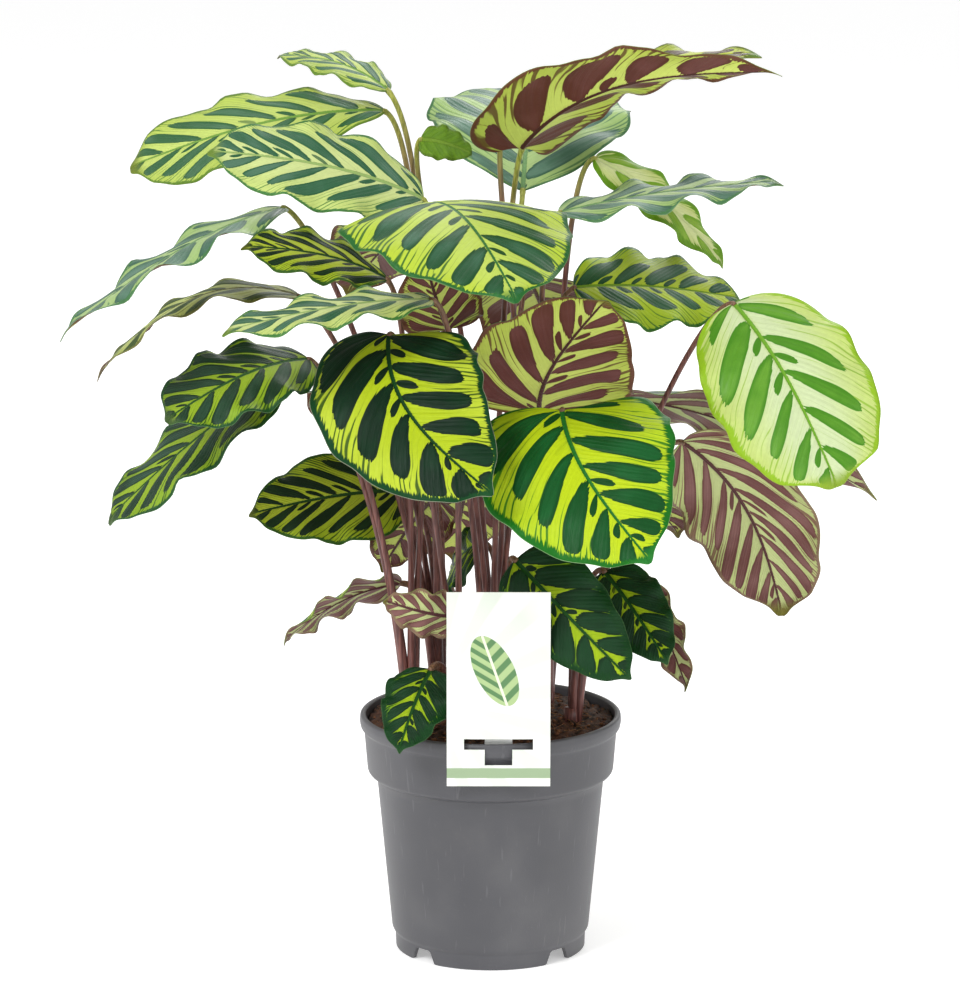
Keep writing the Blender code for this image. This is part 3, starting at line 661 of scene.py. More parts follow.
def random_number(tree, value):
    """A random number from 0 to 1 that belongs to a whole number."""
    node = tree.nodes.new("ShaderNodeTexWhiteNoise")
    node.noise_dimensions = "1D"
    plug(tree, value, node.inputs["W"])
    return Wire(tree, node.outputs["Value"])


def spindle(fill, x):
    """Half width of a blotch along its vein: fill times x^0.55 (1-x)^0.32, scaled to a peak of one."""
    rise = x.math("MAXIMUM", 0.0).math("POWER", 0.55)
    fall = (x * -1.0 + 1.0).math("MAXIMUM", 0.0).math("POWER", 0.32)
    return rise * fall * fill * 1.77


def pattern_group():
    """The masks of a peacock leaf from its vein coordinates."""
    tree, enter, leave = new_group("peacock_pattern", PATTERN_INPUTS, PATTERN_OUTPUTS)
    given = {title: Wire(tree, enter.outputs[title]) for title, _, _ in PATTERN_INPUTS}
    row, out = uv_map(tree, "veins")
    rib = attribute(tree, "rib_distance")
    edge = attribute(tree, "edge_distance")
    fray = noise(tree, vector(tree, row * 17.0, out * 0.9, 0.0), 1.0, 3.0) - 0.5
    sway = noise(tree, vector(tree, row * 1.7, out * 1.3, 7.0), 1.0, 1.0) - 0.5

    number = row.math("ROUND")
    luck = random_number(tree, number)
    offset = (row - number + sway * 0.18).math("ABSOLUTE")
    x = out / given["Length"] * (luck * -0.22 + 1.1) + fray * 0.17
    body = spindle(given["Fill"] * (luck * 0.4 + 0.8), x)
    blotch = (body - offset + fray * 0.05).step(-0.005, 0.014)
    # The middle of each blotch: the look's core paint goes here as painted sheen, and the bump swells it a
    # little.
    sheen_core = (body - offset).step(0.02, 0.16)
    tail = (offset * -1.0 + 0.03).step(0.0, 0.014) * out.step(0.8, 0.95)

    between = row.math("FLOOR")
    chance = random_number(tree, between + 0.37)
    beside = (row - between - 0.5 + sway * 0.2).math("ABSOLUTE")
    small_x = out / (chance * 0.16 + 0.14) + fray * 0.3
    small_body = spindle(chance * 0.07 + 0.08, small_x)
    small_blotch = (small_body - beside).step(-0.006, 0.014) * (given["Small"] + chance - 1.0).step(-0.02, 0.02)

    comb = (row * (pi * LINES_PER_ROW) + sway * 7.0).math("SINE").math("ABSOLUTE")
    some = noise(tree, vector(tree, row * 5.0, out * 0.6, 3.0), 1.0, 2.0).step(0.38, 0.68)
    thick = given["Lines"] * some * (out.step(0.1, 1.25) * 1.5 + 0.05)
    streak = (thick - comb + fray * 0.9).step(-0.12, 0.3)
    fibre = noise(tree, vector(tree, row * 44.0, out * 1.6, 5.0), 1.0, 2.0)

    ragged = edge + fray * given["Margin"] * 2.6 + sway * given["Margin"]
    margin = ragged.step(given["Margin"] * 0.85, given["Margin"] * 1.15) * -1.0 + 1.0
    # The pale rim along the cut edge: partly the edge's own colour and partly a painted highlight.
    rim = edge.step(0.12, 0.45) * -1.0 + 1.0
    _, along = uv_map(tree, "growth")
    rib_width = along * -1.0 + 1.5 + fray * 1.2
    midrib_mask = rib.step(rib_width * 0.75, rib_width) * -1.0 + 1.0
    halo = rib.step(rib_width * 1.2, rib_width * 2.2) * -1.0 + 1.0

    pleat = (row * (tau * LINES_PER_ROW)).math("SINE") * 0.5 + 0.5
    relief = pleat * 0.25 + fibre * 0.5 + sheen_core * 0.25 - midrib_mask * 0.8
    masks = {
        "Blotch": blotch.math("MAXIMUM", small_blotch),
        "Blotch_Sheen": sheen_core,
        "Streak": streak.math("MAXIMUM", tail),
        "Margin": margin,
        "Rim_And_Highlight": rim,
        "Midrib": midrib_mask,
        "Halo": halo,
        "Fibre": fibre,
        "Relief": relief,
    }
    for title, mask in masks.items():
        plug(tree, mask, leave.inputs[title])
    return tree


PATTERN = pattern_group()
print("pattern group has", len(PATTERN.nodes), "nodes")

# %% [markdown]
# One plant shows many greens, because young leaves are pale and old ones dark; the leaves low down and
# under others have greens darkened as painted shade, and those that face the sky shine, some with a
# painted grey sheen. Each look is a set of paints: the ground between the blotches, the same ground
# near the margin, the blotch and its paler core, which is painted sheen, the fine streaks, the margin,
# the midrib with the pale band beside it, the pale cut rim, partly its own colour and partly a painted
# highlight, and the tip. The numbers after them shape the pattern.

# %% Leaf paints
PAINTS = ("ground", "outer", "blotch", "sheen_core", "streak", "margin", "midrib", "halo", "rim", "tip")
SHAPES = ("fill", "small", "edge", "length", "lines", "rough")


def look(paints, shapes, shine=0.3):
    """A look from its ten paints and its six pattern numbers, in the order of the names above."""
    return {**dict(zip(PAINTS, paints)), **dict(zip(SHAPES, shapes)), "shine": shine}


LOOKS = {
    "deep": look(
        [(182, 204, 26), (192, 212, 56), (4, 36, 18), (12, 52, 28), (20, 70, 20), (10, 66, 28), (16, 66, 24),
         (150, 180, 30), (170, 176, 150), (24, 80, 36)],
        (0.38, 0.5, 3.4, 1.0, 0.62, 0.5), 0.15,
    ),
    "fresh": look(
        [(196, 220, 24), (186, 214, 34), (8, 74, 24), (20, 96, 42), (34, 120, 22), (22, 112, 22),
         (30, 116, 40), (150, 196, 40), (150, 190, 130), (36, 128, 44)],
        (0.33, 0.5, 4.4, 0.95, 0.6, 0.48), 0.18,
    ),
    "cream": look(
        [(212, 228, 176), (200, 220, 120), (70, 138, 16), (104, 164, 44), (150, 190, 56), (150, 194, 26),
         (112, 170, 34), (184, 210, 100), (170, 200, 60), (140, 172, 36)],
        (0.29, 0.6, 3.4, 0.95, 0.5, 0.46),
    ),
    "clear": look(
        [(214, 228, 150), (202, 220, 124), (36, 96, 58), (84, 126, 100), (84, 138, 60), (64, 126, 58),
         (160, 190, 110), (214, 230, 150), (120, 160, 90), (110, 140, 40)],
        (0.33, 0.4, 1.5, 1.0, 0.4, 0.46),
    ),
    "pale": look(
        [(202, 222, 114), (190, 212, 92), (42, 98, 50), (80, 124, 90), (80, 128, 46), (100, 138, 34),
         (120, 166, 66), (200, 220, 110), (130, 156, 60), (110, 128, 24)],
        (0.31, 0.4, 1.7, 1.0, 0.5, 0.46),
    ),
    "ripe": look(
        [(200, 222, 96), (190, 214, 56), (16, 76, 32), (60, 110, 80), (24, 96, 30), (26, 102, 32),
         (52, 120, 54), (190, 212, 84), (120, 160, 90), (28, 104, 38)],
        (0.31, 0.75, 2.8, 1.0, 0.62, 0.46),
    ),
    # Painted sheen: the pale grey-blue paints of this look stand in for the sky's sheen on leaves that face up.
    "grey_sheen": look(
        [(178, 206, 136), (164, 196, 118), (60, 104, 80), (100, 138, 116), (90, 134, 84), (74, 126, 76),
         (120, 162, 104), (180, 206, 130), (130, 166, 120), (90, 120, 60)],
        (0.33, 0.3, 1.6, 1.1, 0.6, 0.42),
    ),
    "dusky": look(
        [(192, 204, 124), (180, 192, 100), (62, 86, 36), (84, 102, 56), (110, 110, 52), (106, 112, 46),
         (124, 124, 64), (190, 200, 110), (150, 140, 90), (176, 142, 116)],
        (0.3, 0.2, 1.6, 1.2, 0.5, 0.5),
    ),
    "olive": look(
        [(190, 204, 50), (160, 178, 32), (70, 46, 20), (88, 64, 32), (104, 104, 20), (96, 112, 16),
         (120, 120, 40), (190, 202, 70), (130, 130, 50), (100, 134, 56)],
        (0.3, 0.3, 1.8, 0.8, 0.5, 0.48),
    ),
    "oval": look(
        [(186, 210, 46), (170, 200, 36), (20, 78, 36), (58, 106, 72), (66, 124, 28), (50, 114, 28),
         (120, 160, 40), (190, 214, 66), (110, 150, 60), (80, 120, 30)],
        (0.36, 0.4, 1.8, 0.8, 0.45, 0.46),
    ),
    # Painted shade: the darker greens of this look stand for the shade on leaves under others; its wide blotches
    # are the leaf's own pattern.
    "shade": look(
        [(154, 186, 36), (140, 176, 30), (12, 50, 22), (44, 80, 56), (34, 80, 20), (20, 80, 26),
         (40, 90, 34), (120, 160, 50), (90, 130, 80), (60, 90, 30)],
        (0.38, 0.4, 2.0, 1.05, 0.7, 0.46),
    ),
    "stripe": look(
        [(188, 206, 54), (170, 194, 36), (12, 40, 16), (26, 58, 26), (36, 76, 18), (50, 96, 24),
         (40, 80, 26), (180, 198, 70), (100, 130, 50), (100, 110, 20)],
        (0.33, 0.3, 1.8, 1.05, 0.6, 0.5), 0.2,
    ),
    # Painted shade: the darker greens of this look stand for the shade low down under the canopy; its wide
    # blotches and margin are the leaf's own pattern.
    "dark": look(
        [(164, 194, 20), (110, 160, 22), (8, 46, 18), (20, 64, 32), (16, 68, 18), (10, 62, 20),
         (24, 76, 24), (60, 110, 30), (70, 110, 60), (26, 76, 26)],
        (0.48, 0.4, 4.5, 1.1, 0.9, 0.46), 0.18,
    ),
    "young": look(
        [(222, 232, 164), (208, 222, 128), (116, 166, 22), (146, 184, 58), (146, 184, 48), (106, 158, 12),
         (214, 228, 156), (222, 232, 166), (130, 170, 30), (116, 154, 18)],
        (0.3, 0.1, 3.0, 1.2, 0.5, 0.46),
    ),
    "plain": look(
        [(104, 146, 20), (112, 154, 26), (96, 138, 18), (104, 146, 26), (90, 130, 16), (92, 128, 10),
         (120, 156, 40), (112, 152, 30), (110, 140, 30), (90, 124, 10)],
        (0.3, 0.1, 1.5, 1.0, 0.5, 0.46),
    ),
}

UNDERSIDES = {
    "maroon": look(
        [(208, 222, 108), (190, 206, 84), (90, 42, 34), (108, 60, 56), (96, 58, 30), (104, 62, 40),
         (72, 32, 28), (180, 180, 90), (120, 90, 60), (120, 110, 40)],
        (0.38, 0.5, 2.6, 1.0, 0.7, 0.52),
    ),
    "mauve": look(
        [(208, 220, 150), (196, 208, 134), (112, 64, 60), (140, 96, 92), (128, 82, 72), (140, 112, 88),
         (88, 46, 48), (180, 170, 120), (150, 130, 100), (134, 128, 50)],
        (0.36, 0.3, 1.8, 1.1, 0.95, 0.55),
    ),
}


def leaf_material(name, look, relief_depth):
    """A leaf skin: the pattern's masks choose between the look's paints."""
    material, tree, shader = new_material(name, look["rough"], look["shine"])
    pattern = use_group(
        tree, PATTERN, Fill=look["fill"], Small=look["small"], Margin=look["edge"], Length=look["length"],
        Lines=look["lines"],
    )
    mask = {title: Wire(tree, pattern.outputs[title]) for title, _ in PATTERN_OUTPUTS}
    broad = noise(tree, object_place(tree), 38.0, 2.0)
    fine = noise(tree, object_place(tree), 420.0, 2.0)
    _, out = uv_map(tree, "veins")
    _, along = uv_map(tree, "growth")
    ground = mix(tree, out.step(0.2, 1.2), look["ground"], look["outer"])
    ground = mix(tree, mask["Streak"] * 0.9, ground, look["streak"])
    ground = mix(tree, mask["Halo"] * 0.3, ground, look["halo"])
    # Painted sheen: in broad patches the middle of each blotch takes the paler core paint, for the sky's
    # reflection.
    dark = mix(tree, mask["Blotch_Sheen"] * (broad.step(0.35, 0.65) * 0.8 + 0.2), look["blotch"], look["sheen_core"])
    colour = mix(tree, mask["Blotch"], ground, dark)
    colour = mix(tree, mask["Margin"], colour, look["margin"])
    colour = mix(tree, mask["Midrib"], colour, look["midrib"])
    colour = mix(tree, along.step(0.92, 0.99), colour, look["tip"])
    # Pale rim along the edge: partly its own colour, partly a painted highlight.
    colour = mix(tree, mask["Rim_And_Highlight"] * 0.8, colour, look["rim"])
    tone = mix(tree, mask["Fibre"] * 0.6 + fine * 0.4, (214, 214, 214), (255, 255, 255))
    shaded = tree.nodes.new("ShaderNodeMix")
    shaded.data_type = "RGBA"
    shaded.blend_type = "MULTIPLY"
    shaded.inputs["Factor"].default_value = 1.0
    plug(tree, colour, shaded.inputs[6])
    plug(tree, tone, shaded.inputs[7])
    plug(tree, Wire(tree, shaded.outputs[2]), shader.inputs["Base Color"])
    roughness = broad * 0.16 + (look["rough"] - 0.08) + mask["Blotch"] * -0.05
    plug(tree, roughness, shader.inputs["Roughness"])
    height = mask["Relief"] + fine * 0.15
    plug(tree, bump(tree, height, relief_depth), shader.inputs["Normal"])
    return material


UPPER = {name: leaf_material("leaf_upper_" + name, look, 0.0005) for name, look in LOOKS.items()}
LOWER = {name: leaf_material("leaf_lower_" + name, look, -0.0004) for name, look in UNDERSIDES.items()}
print("leaf paints:", len(UPPER), "above and", len(LOWER), "below")

# %% Build every blade
for number, leaf in enumerate(LEAVES):
    build_blade(leaf, number, [UPPER[leaf.look], LOWER[leaf.under]])
print("blades are in place")

# %% [markdown]
# The stalks rise from the soil in tight clumps. Each one is a smooth tube: a sheath that wraps it near
# the ground, a thin round stalk, and a swollen knee just below the blade, where the leaf can tilt. The
# tube's path is the same curve that the solid follows.

# %% Stalk paths
SHOOTS = {
    "shoot_left": (-41, -4),
    "shoot_left_back": (-26, 22),
    "shoot_back": (3, 38),
    "shoot_right_back": (30, 24),
    "shoot_right": (43, -8),
    "shoot_front_right": (22, -27),
    "shoot_front_left": (-16, -32),
    "shoot_centre": (0, 2),
}
SOIL_TOP = 124.0
CROWN_RADIUS = 6.0
CROWN_TOP_RADIUS = 3.7
CROWN_DEPTH = 24.0
CROWN_TOP = 9.0
STALK_SUNK = 4.0
STALK_LEAN = 0.05
STALK_BEND = 0.08
STALK_RISE = 0.5
JOINT_GAP = 0.8
STALK_POINTS = 40
STALK_SIDES = 12


def stalk_path(leaf):
    """Points along the stalk: a cubic curve that leaves the crown upwards and meets the blade's foot."""
    s = np.linspace(0.0, 1.0, 41)
    points, _, _, slope = midrib(leaf, s)
    x, y = SHOOTS[leaf.shoot]
    start = np.array([x, y, SOIL_TOP - STALK_SUNK])
    toward = (points[0] - start) * np.array([1.0, 1.0, 0.0])
    start = start + STALK_LEAN * toward * min(1.0, 60.0 / max(np.linalg.norm(toward), 1.0))
    end = points[0] - slope[0] * JOINT_GAP
    length = np.linalg.norm(end - start)
    first = start + np.array([0.0, 0.0, length * STALK_RISE]) + STALK_BEND * toward
    second = end - slope[0] * leaf.knee
    end = points[0] + slope[0] * 1.5
    t = np.linspace(0.0, 1.0, STALK_POINTS)[:, None]
    low = (1 - t) ** 3 * start + 3 * t * (1 - t) ** 2 * first
    return low + 3 * t**2 * (1 - t) * second + t**3 * end, length


def tube(path, radii, sides, turn=0.0, ribs=0.0):
    """Points and faces of a closed tube along the path. Ribs is the height of five soft ridges."""
    slope = np.gradient(path, axis=0)
    slope /= np.linalg.norm(slope, axis=1)[:, None]
    guide = np.array([0.35, -0.9, 0.25])
    side = np.cross(slope, guide)
    side /= np.linalg.norm(side, axis=1)[:, None]
    other = np.cross(slope, side)
    angle = tau * np.arange(sides) / sides + turn
    swell = radii[:, None] * (1.0 + ribs * np.cos(5.0 * angle)[None, :])
    ring = np.cos(angle)[None, :, None] * side[:, None] + np.sin(angle)[None, :, None] * other[:, None]
    points = (path[:, None] + swell[..., None] * ring).reshape(-1, 3)
    points = np.concatenate([points, path[:1], path[-1:]])
    body = grid_quads(len(path), sides, wrap=True)
    around = np.arange(sides)
    after = (around + 1) % sides
    low, high = len(path) * sides, len(path) * sides + 1
    last = (len(path) - 1) * sides
    caps = [(low, int(b), int(a)) for a, b in zip(around, after)]
    caps += [(high, int(a), int(b)) for a, b in zip(around + last, after + last)]
    return points, [tuple(face) for face in body.tolist()] + caps


def stalk_radii(t, length):
    """Radius along the stalk: a sheath to about 45 mm, then 1.4 mm, then the knee below the blade."""
    reach = t * length
    sheath = 0.9 * (1.0 - 1.0 / (1.0 + np.exp(-(reach - 46.0) / 7.0)))
    knee = 0.35 * np.exp(-(((t - 1.0) * length + 6.0) / 6.0) ** 2)
    return 1.4 + 0.25 * (1.0 - t) + sheath + knee


def build_shoot(name, material):
    """One shoot: its crown and all its stalks in one mesh, with how far up each point lies."""
    points, faces, height, olive = [], [], [], []
    x, y = SHOOTS[name]
    levels = np.linspace(SOIL_TOP - CROWN_DEPTH, SOIL_TOP + CROWN_TOP, 8)
    path = np.stack([np.full(8, float(x)), np.full(8, float(y)), levels], -1)
    radii = np.linspace(CROWN_RADIUS, CROWN_TOP_RADIUS, 8)
    parts = [(path, radii, np.zeros(8), False)]
    for leaf in LEAVES:
        if leaf.shoot == name:
            path, length = stalk_path(leaf)
            t = np.linspace(0.0, 1.0, STALK_POINTS)
            parts.append((path, stalk_radii(t, length), t, leaf.base[2] > 385))
    total = 0
    for number, (path, radii, t, high) in enumerate(parts):
        tube_points, tube_faces = tube(path, radii, STALK_SIDES, 0.4 * number, 0.03)
        points.append(tube_points)
        faces += [tuple(corner + total for corner in face) for face in tube_faces]
        total += len(tube_points)
        height.append(np.concatenate([np.repeat(t, STALK_SIDES), [t[0], t[-1]]]))
        olive.append(np.full(len(tube_points), 1.0 if high else 0.0))
    item = mesh_object(name + "_stalks", np.concatenate(points), faces)
    for title, values in (("reach", height), ("olive", olive)):
        layer = item.data.attributes.new(title, "FLOAT", "POINT")
        layer.data.foreach_set("value", np.concatenate(values).astype(np.float32))
    return dress(item, name, [material])


# %% [markdown]
# The stalks are reddish brown where they leave the soil and turn olive just below the pale leaves. Fine
# lengthwise fibres and a few darker freckles keep them from looking like wire.


# %% Stalk material
def stalk_material():
    """Reddish brown skin with fibres, olive near the blades of the high leaves."""
    material, tree, shader = new_material("stalk_skin", 0.42)
    reach = attribute(tree, "reach")
    olive = attribute(tree, "olive")
    place = object_place(tree)
    stretch = tree.nodes.new("ShaderNodeMapping")
    plug(tree, place, stretch.inputs["Vector"])
    stretch.inputs["Scale"].default_value = (1.0, 1.0, 0.06)
    fibre = noise(tree, Wire(tree, stretch.outputs[0]), 900.0, 3.0)
    blotch = noise(tree, place, 90.0, 2.0)
    colour = mix(tree, fibre.step(0.35, 0.7), (84, 44, 40), (134, 84, 76))
    colour = mix(tree, blotch.step(0.5, 0.75) * 0.5, colour, (70, 38, 30))
    green = mix(tree, fibre.step(0.3, 0.7), (120, 126, 40), (168, 172, 74))
    colour = mix(tree, reach.step(0.62, 0.95) * (olive * 0.85 + 0.12), colour, green)
    plug(tree, colour, shader.inputs["Base Color"])
    plug(tree, fibre * 0.2 + 0.32, shader.inputs["Roughness"])
    plug(tree, bump(tree, fibre, 0.0003), shader.inputs["Normal"])
    return material


STALK_SKIN = stalk_material()
for name in SHOOTS:
    build_shoot(name, STALK_SKIN)
print("shoots:", len(SHOOTS))

# %% [markdown]
# The pot is injection moulded: one profile turned about its axis, with a rolled lip, a deep collar, a
# step, a tapered body and a short foot ring. Real mouldings have no sharp edges, so the profile's
# corners are rounded before it is turned. The four notches in the foot ring are made by lifting the
# ring's lower points, with slanted sides.

# %% Pot sizes
POT_HEIGHT = 129.0
LIP_RADIUS = 70.0
LIP_WIDEST = 125.0
COLLAR_TOP_RADIUS = 67.6
COLLAR_FOOT_RADIUS = 65.6
COLLAR_FOOT = 96.5
BODY_TOP_RADIUS = 60.6
BODY_TOP = 92.0
BODY_FOOT_RADIUS = 52.9
BODY_FOOT = 10.7
FOOT_RADIUS = 51.2
FOOT_TOP = 8.2
WALL = 1.4
FLOOR_LEVEL = 9.2
NOTCHES = 4
NOTCH_WIDTH = 16.5
NOTCH_HEIGHT = 7.3
NOTCH_SLANT = 3.2
POT_STEPS = 240


def pot_profile():
    """The outer and inner profile as radius and height, with the size of the rounding at each corner."""
    outer = [
        (LIP_RADIUS - 1.9, POT_HEIGHT, 0.7),
        (LIP_RADIUS - 0.4, POT_HEIGHT - 0.8, 0.9),
        (LIP_RADIUS, LIP_WIDEST, 0.9),
        (LIP_RADIUS - 0.6, LIP_WIDEST - 3.4, 0.9),
        (COLLAR_TOP_RADIUS, LIP_WIDEST - 5.2, 0.9),
        (COLLAR_FOOT_RADIUS + 0.2, COLLAR_FOOT + 1.6, 0.8),
        (COLLAR_FOOT_RADIUS - 0.9, COLLAR_FOOT, 0.8),
        (BODY_TOP_RADIUS + 1.4, COLLAR_FOOT - 1.2, 0.9),
        (BODY_TOP_RADIUS, BODY_TOP, 1.6),
        (BODY_FOOT_RADIUS, BODY_FOOT, 1.0),
        (FOOT_RADIUS, FOOT_TOP, 0.7),
        (FOOT_RADIUS - 0.3, 0.0, 0.3),
    ]
    inner = [
        (FOOT_RADIUS - 0.3 - WALL - 0.6, 0.0, 0.3),
        (FOOT_RADIUS - WALL - 1.0, FLOOR_LEVEL - 1.4, 0.6),
        (0.0, FLOOR_LEVEL - 1.4, 0.0),
        (0.0, FLOOR_LEVEL, 0.0),
        (BODY_FOOT_RADIUS - WALL - 1.4, FLOOR_LEVEL, 0.6),
        (BODY_FOOT_RADIUS - WALL, BODY_FOOT + 2.0, 0.6),
        (BODY_TOP_RADIUS - WALL, BODY_TOP + 0.6, 0.6),
        (COLLAR_FOOT_RADIUS - WALL, COLLAR_FOOT + 2.6, 0.6),
        (COLLAR_TOP_RADIUS - WALL, LIP_WIDEST - 3.0, 0.8),
        (COLLAR_TOP_RADIUS - WALL + 0.4, POT_HEIGHT - 0.9, 0.6),
    ]
    return outer + inner


def rounded(profile, steps=4):
    """The closed profile with each corner replaced by a quadratic curve of its rounding size."""
    line = []
    count = len(profile)
    for index, (radius, height, size) in enumerate(profile):
        corner = np.array([radius, height])
        before = np.array(profile[index - 1][:2]) - corner
        behind = np.array(profile[(index + 1) % count][:2]) - corner
        if size == 0.0:
            line.append(corner)
            continue
        enter = corner + before * min(size / np.linalg.norm(before), 0.45)
        leave = corner + behind * min(size / np.linalg.norm(behind), 0.45)
        for t in np.linspace(0.0, 1.0, steps + 1):
            line.append((1 - t) ** 2 * enter + 2 * t * (1 - t) * corner + t**2 * leave)
    return np.array(line)


def long_spans(line, most=6.0):
    """The profile with extra points, so that no span is longer than most millimetres."""
    result = []
    for first, second in zip(line, np.roll(line, -1, axis=0)):
        parts = max(1, int(np.ceil(np.linalg.norm(second - first) / most)))
        for t in np.arange(parts) / parts:
            result.append(first * (1 - t) + second * t)
    return np.array(result)


def build_pot(material):
    """The pot as its rounded profile turned about the axis, with the foot's notches lifted out."""
    line = long_spans(rounded(pot_profile()))
    angle = tau * np.arange(POT_STEPS) / POT_STEPS
    radius, height = line[:, 0][:, None], line[:, 1][:, None]
    quarter = tau / NOTCHES
    from_notch = np.abs((angle - quarter / 2 + quarter / 2) % quarter - quarter / 2) * FOOT_RADIUS
    rise = np.clip((NOTCH_WIDTH / 2 - from_notch) / NOTCH_SLANT, 0.0, 1.0) * NOTCH_HEIGHT
    in_ring = (radius > FOOT_RADIUS - WALL - 2.0) & (height < NOTCH_HEIGHT)
    lifted = np.where(in_ring, np.maximum(height, rise[None, :] * 1.0), height)
    points = np.stack(
        np.broadcast_arrays(radius * np.cos(angle), radius * np.sin(angle), lifted), -1
    ).reshape(-1, 3)
    quads = grid_quads(len(line), POT_STEPS, wrap=True)
    closing = grid_quads(2, POT_STEPS, wrap=True)
    closing = np.where(closing >= POT_STEPS, closing - POT_STEPS, closing + (len(line) - 1) * POT_STEPS)
    faces = np.concatenate([quads, closing])
    item = mesh_object("pot_shell", points, faces)
    bm = bmesh.new()
    bm.from_mesh(item.data)
    bmesh.ops.remove_doubles(bm, verts=bm.verts, dist=0.00002)
    bmesh.ops.recalc_face_normals(bm, faces=bm.faces)
    bm.to_mesh(item.data)
    bm.free()
    item.data.set_sharp_from_angle(angle=radians(50))
    return dress(item, "pot", [material])


# %% [markdown]
# Cheap black plastic with a little chalk in it: dark grey, half matt, with a fine orange-peel skin, a
# faint flow pattern from the mould, and dust and scuffs scattered by noise.


# %% Pot material
def dust_group():
    """A mask for dust and scuffs, from noise on the place."""
    tree, _, leave = new_group(
        "dust", [], [("Dust", "NodeSocketFloat"), ("Scuff", "NodeSocketFloat"), ("Grain", "NodeSocketFloat")]
    )
    place = object_place(tree)
    cloud = noise(tree, place, 26.0, 4.0)
    speck = noise(tree, place, 700.0, 2.0)
    grain = noise(tree, place, 1500.0, 2.0)
    stretch = tree.nodes.new("ShaderNodeMapping")
    plug(tree, place, stretch.inputs["Vector"])
    stretch.inputs["Rotation"].default_value = (0.4, 0.9, 0.2)
    stretch.inputs["Scale"].default_value = (1.0, 1.0, 0.05)
    scratch = noise(tree, Wire(tree, stretch.outputs[0]), 500.0, 2.0)
    plug(tree, cloud.step(0.45, 0.8) * 0.6 + speck.step(0.66, 0.8) * 0.5, leave.inputs["Dust"])
    plug(tree, scratch.step(0.66, 0.74), leave.inputs["Scuff"])
    plug(tree, grain, leave.inputs["Grain"])
    return tree


DUST = dust_group()


def pot_material():
    """Half-matt dark grey plastic."""
    material, tree, shader = new_material("pot_plastic", 0.48)
    dust = use_group(tree, DUST)
    place = object_place(tree)
    flow = noise(tree, place, 14.0, 3.0)
    colour = mix(tree, flow.step(0.3, 0.75), (72, 72, 76), (84, 84, 88))
    colour = mix(tree, Wire(tree, dust.outputs["Dust"]) * 0.16, colour, (150, 148, 144))
    colour = mix(tree, Wire(tree, dust.outputs["Scuff"]) * 0.10, colour, (150, 150, 152))
    plug(tree, colour, shader.inputs["Base Color"])
    rough = Wire(tree, dust.outputs["Dust"]) * 0.15 + flow * 0.08 + 0.40
    plug(tree, rough, shader.inputs["Roughness"])
    height = Wire(tree, dust.outputs["Grain"]) * 0.5 + Wire(tree, dust.outputs["Scuff"]) * -0.3
    plug(tree, bump(tree, height, 0.00012), shader.inputs["Normal"])
    return material


pot = build_pot(pot_material())
print("pot has", len(pot.data.polygons), "faces")

# %% [markdown]
# Potting soil is a crust of crumbs, fibres and bits of bark. The top is a disc whose height is a sum of
# waves and seeded random bumps, and a few hundred small crumbs lie half sunk in it. The plug's side is
# plain, because the pot hides it.

# %% Soil sizes and surface
SOIL_MOUND = 4.0
SOIL_GAP = 0.4
SOIL_RINGS = 46
SOIL_STEPS = 150
CRUMBS = 900
FIBRES = 70
SOIL_RADIUS = COLLAR_TOP_RADIUS - WALL - SOIL_GAP - 0.4
HOLE_RADIUS = CROWN_RADIUS + 0.5


def soil_height(x, y):
    """The solid's surface: a mound that falls off with the radius squared, plus soft lumps."""
    reach = np.clip(np.hypot(x, y) / 64.0, 0.0, 1.0)
    mound = SOIL_MOUND * (1.0 - reach**2)
    lumps = 1.2 * np.sin(x / 7.3 + 1.0) * np.cos(y / 6.1) + 0.7 * np.sin(x / 3.9 + y / 5.2)
    return SOIL_TOP + mound + lumps * (1.0 - 0.6 * reach)


def crumbly(x, y, seed):
    """Sum of sixty plane waves of random direction and length: a rough crust about 1 mm high."""
    draw = np.random.default_rng(seed)
    turn = draw.uniform(0.0, tau, 60)
    length = draw.uniform(2.2, 9.0, 60)
    phase = draw.uniform(0.0, tau, 60)
    wave = np.cos(turn)[:, None, None] * x[None] + np.sin(turn)[:, None, None] * y[None]
    height = (length[:, None, None] * np.sin(tau * wave / length[:, None, None] + phase[:, None, None])).sum(0)
    return height * 0.022


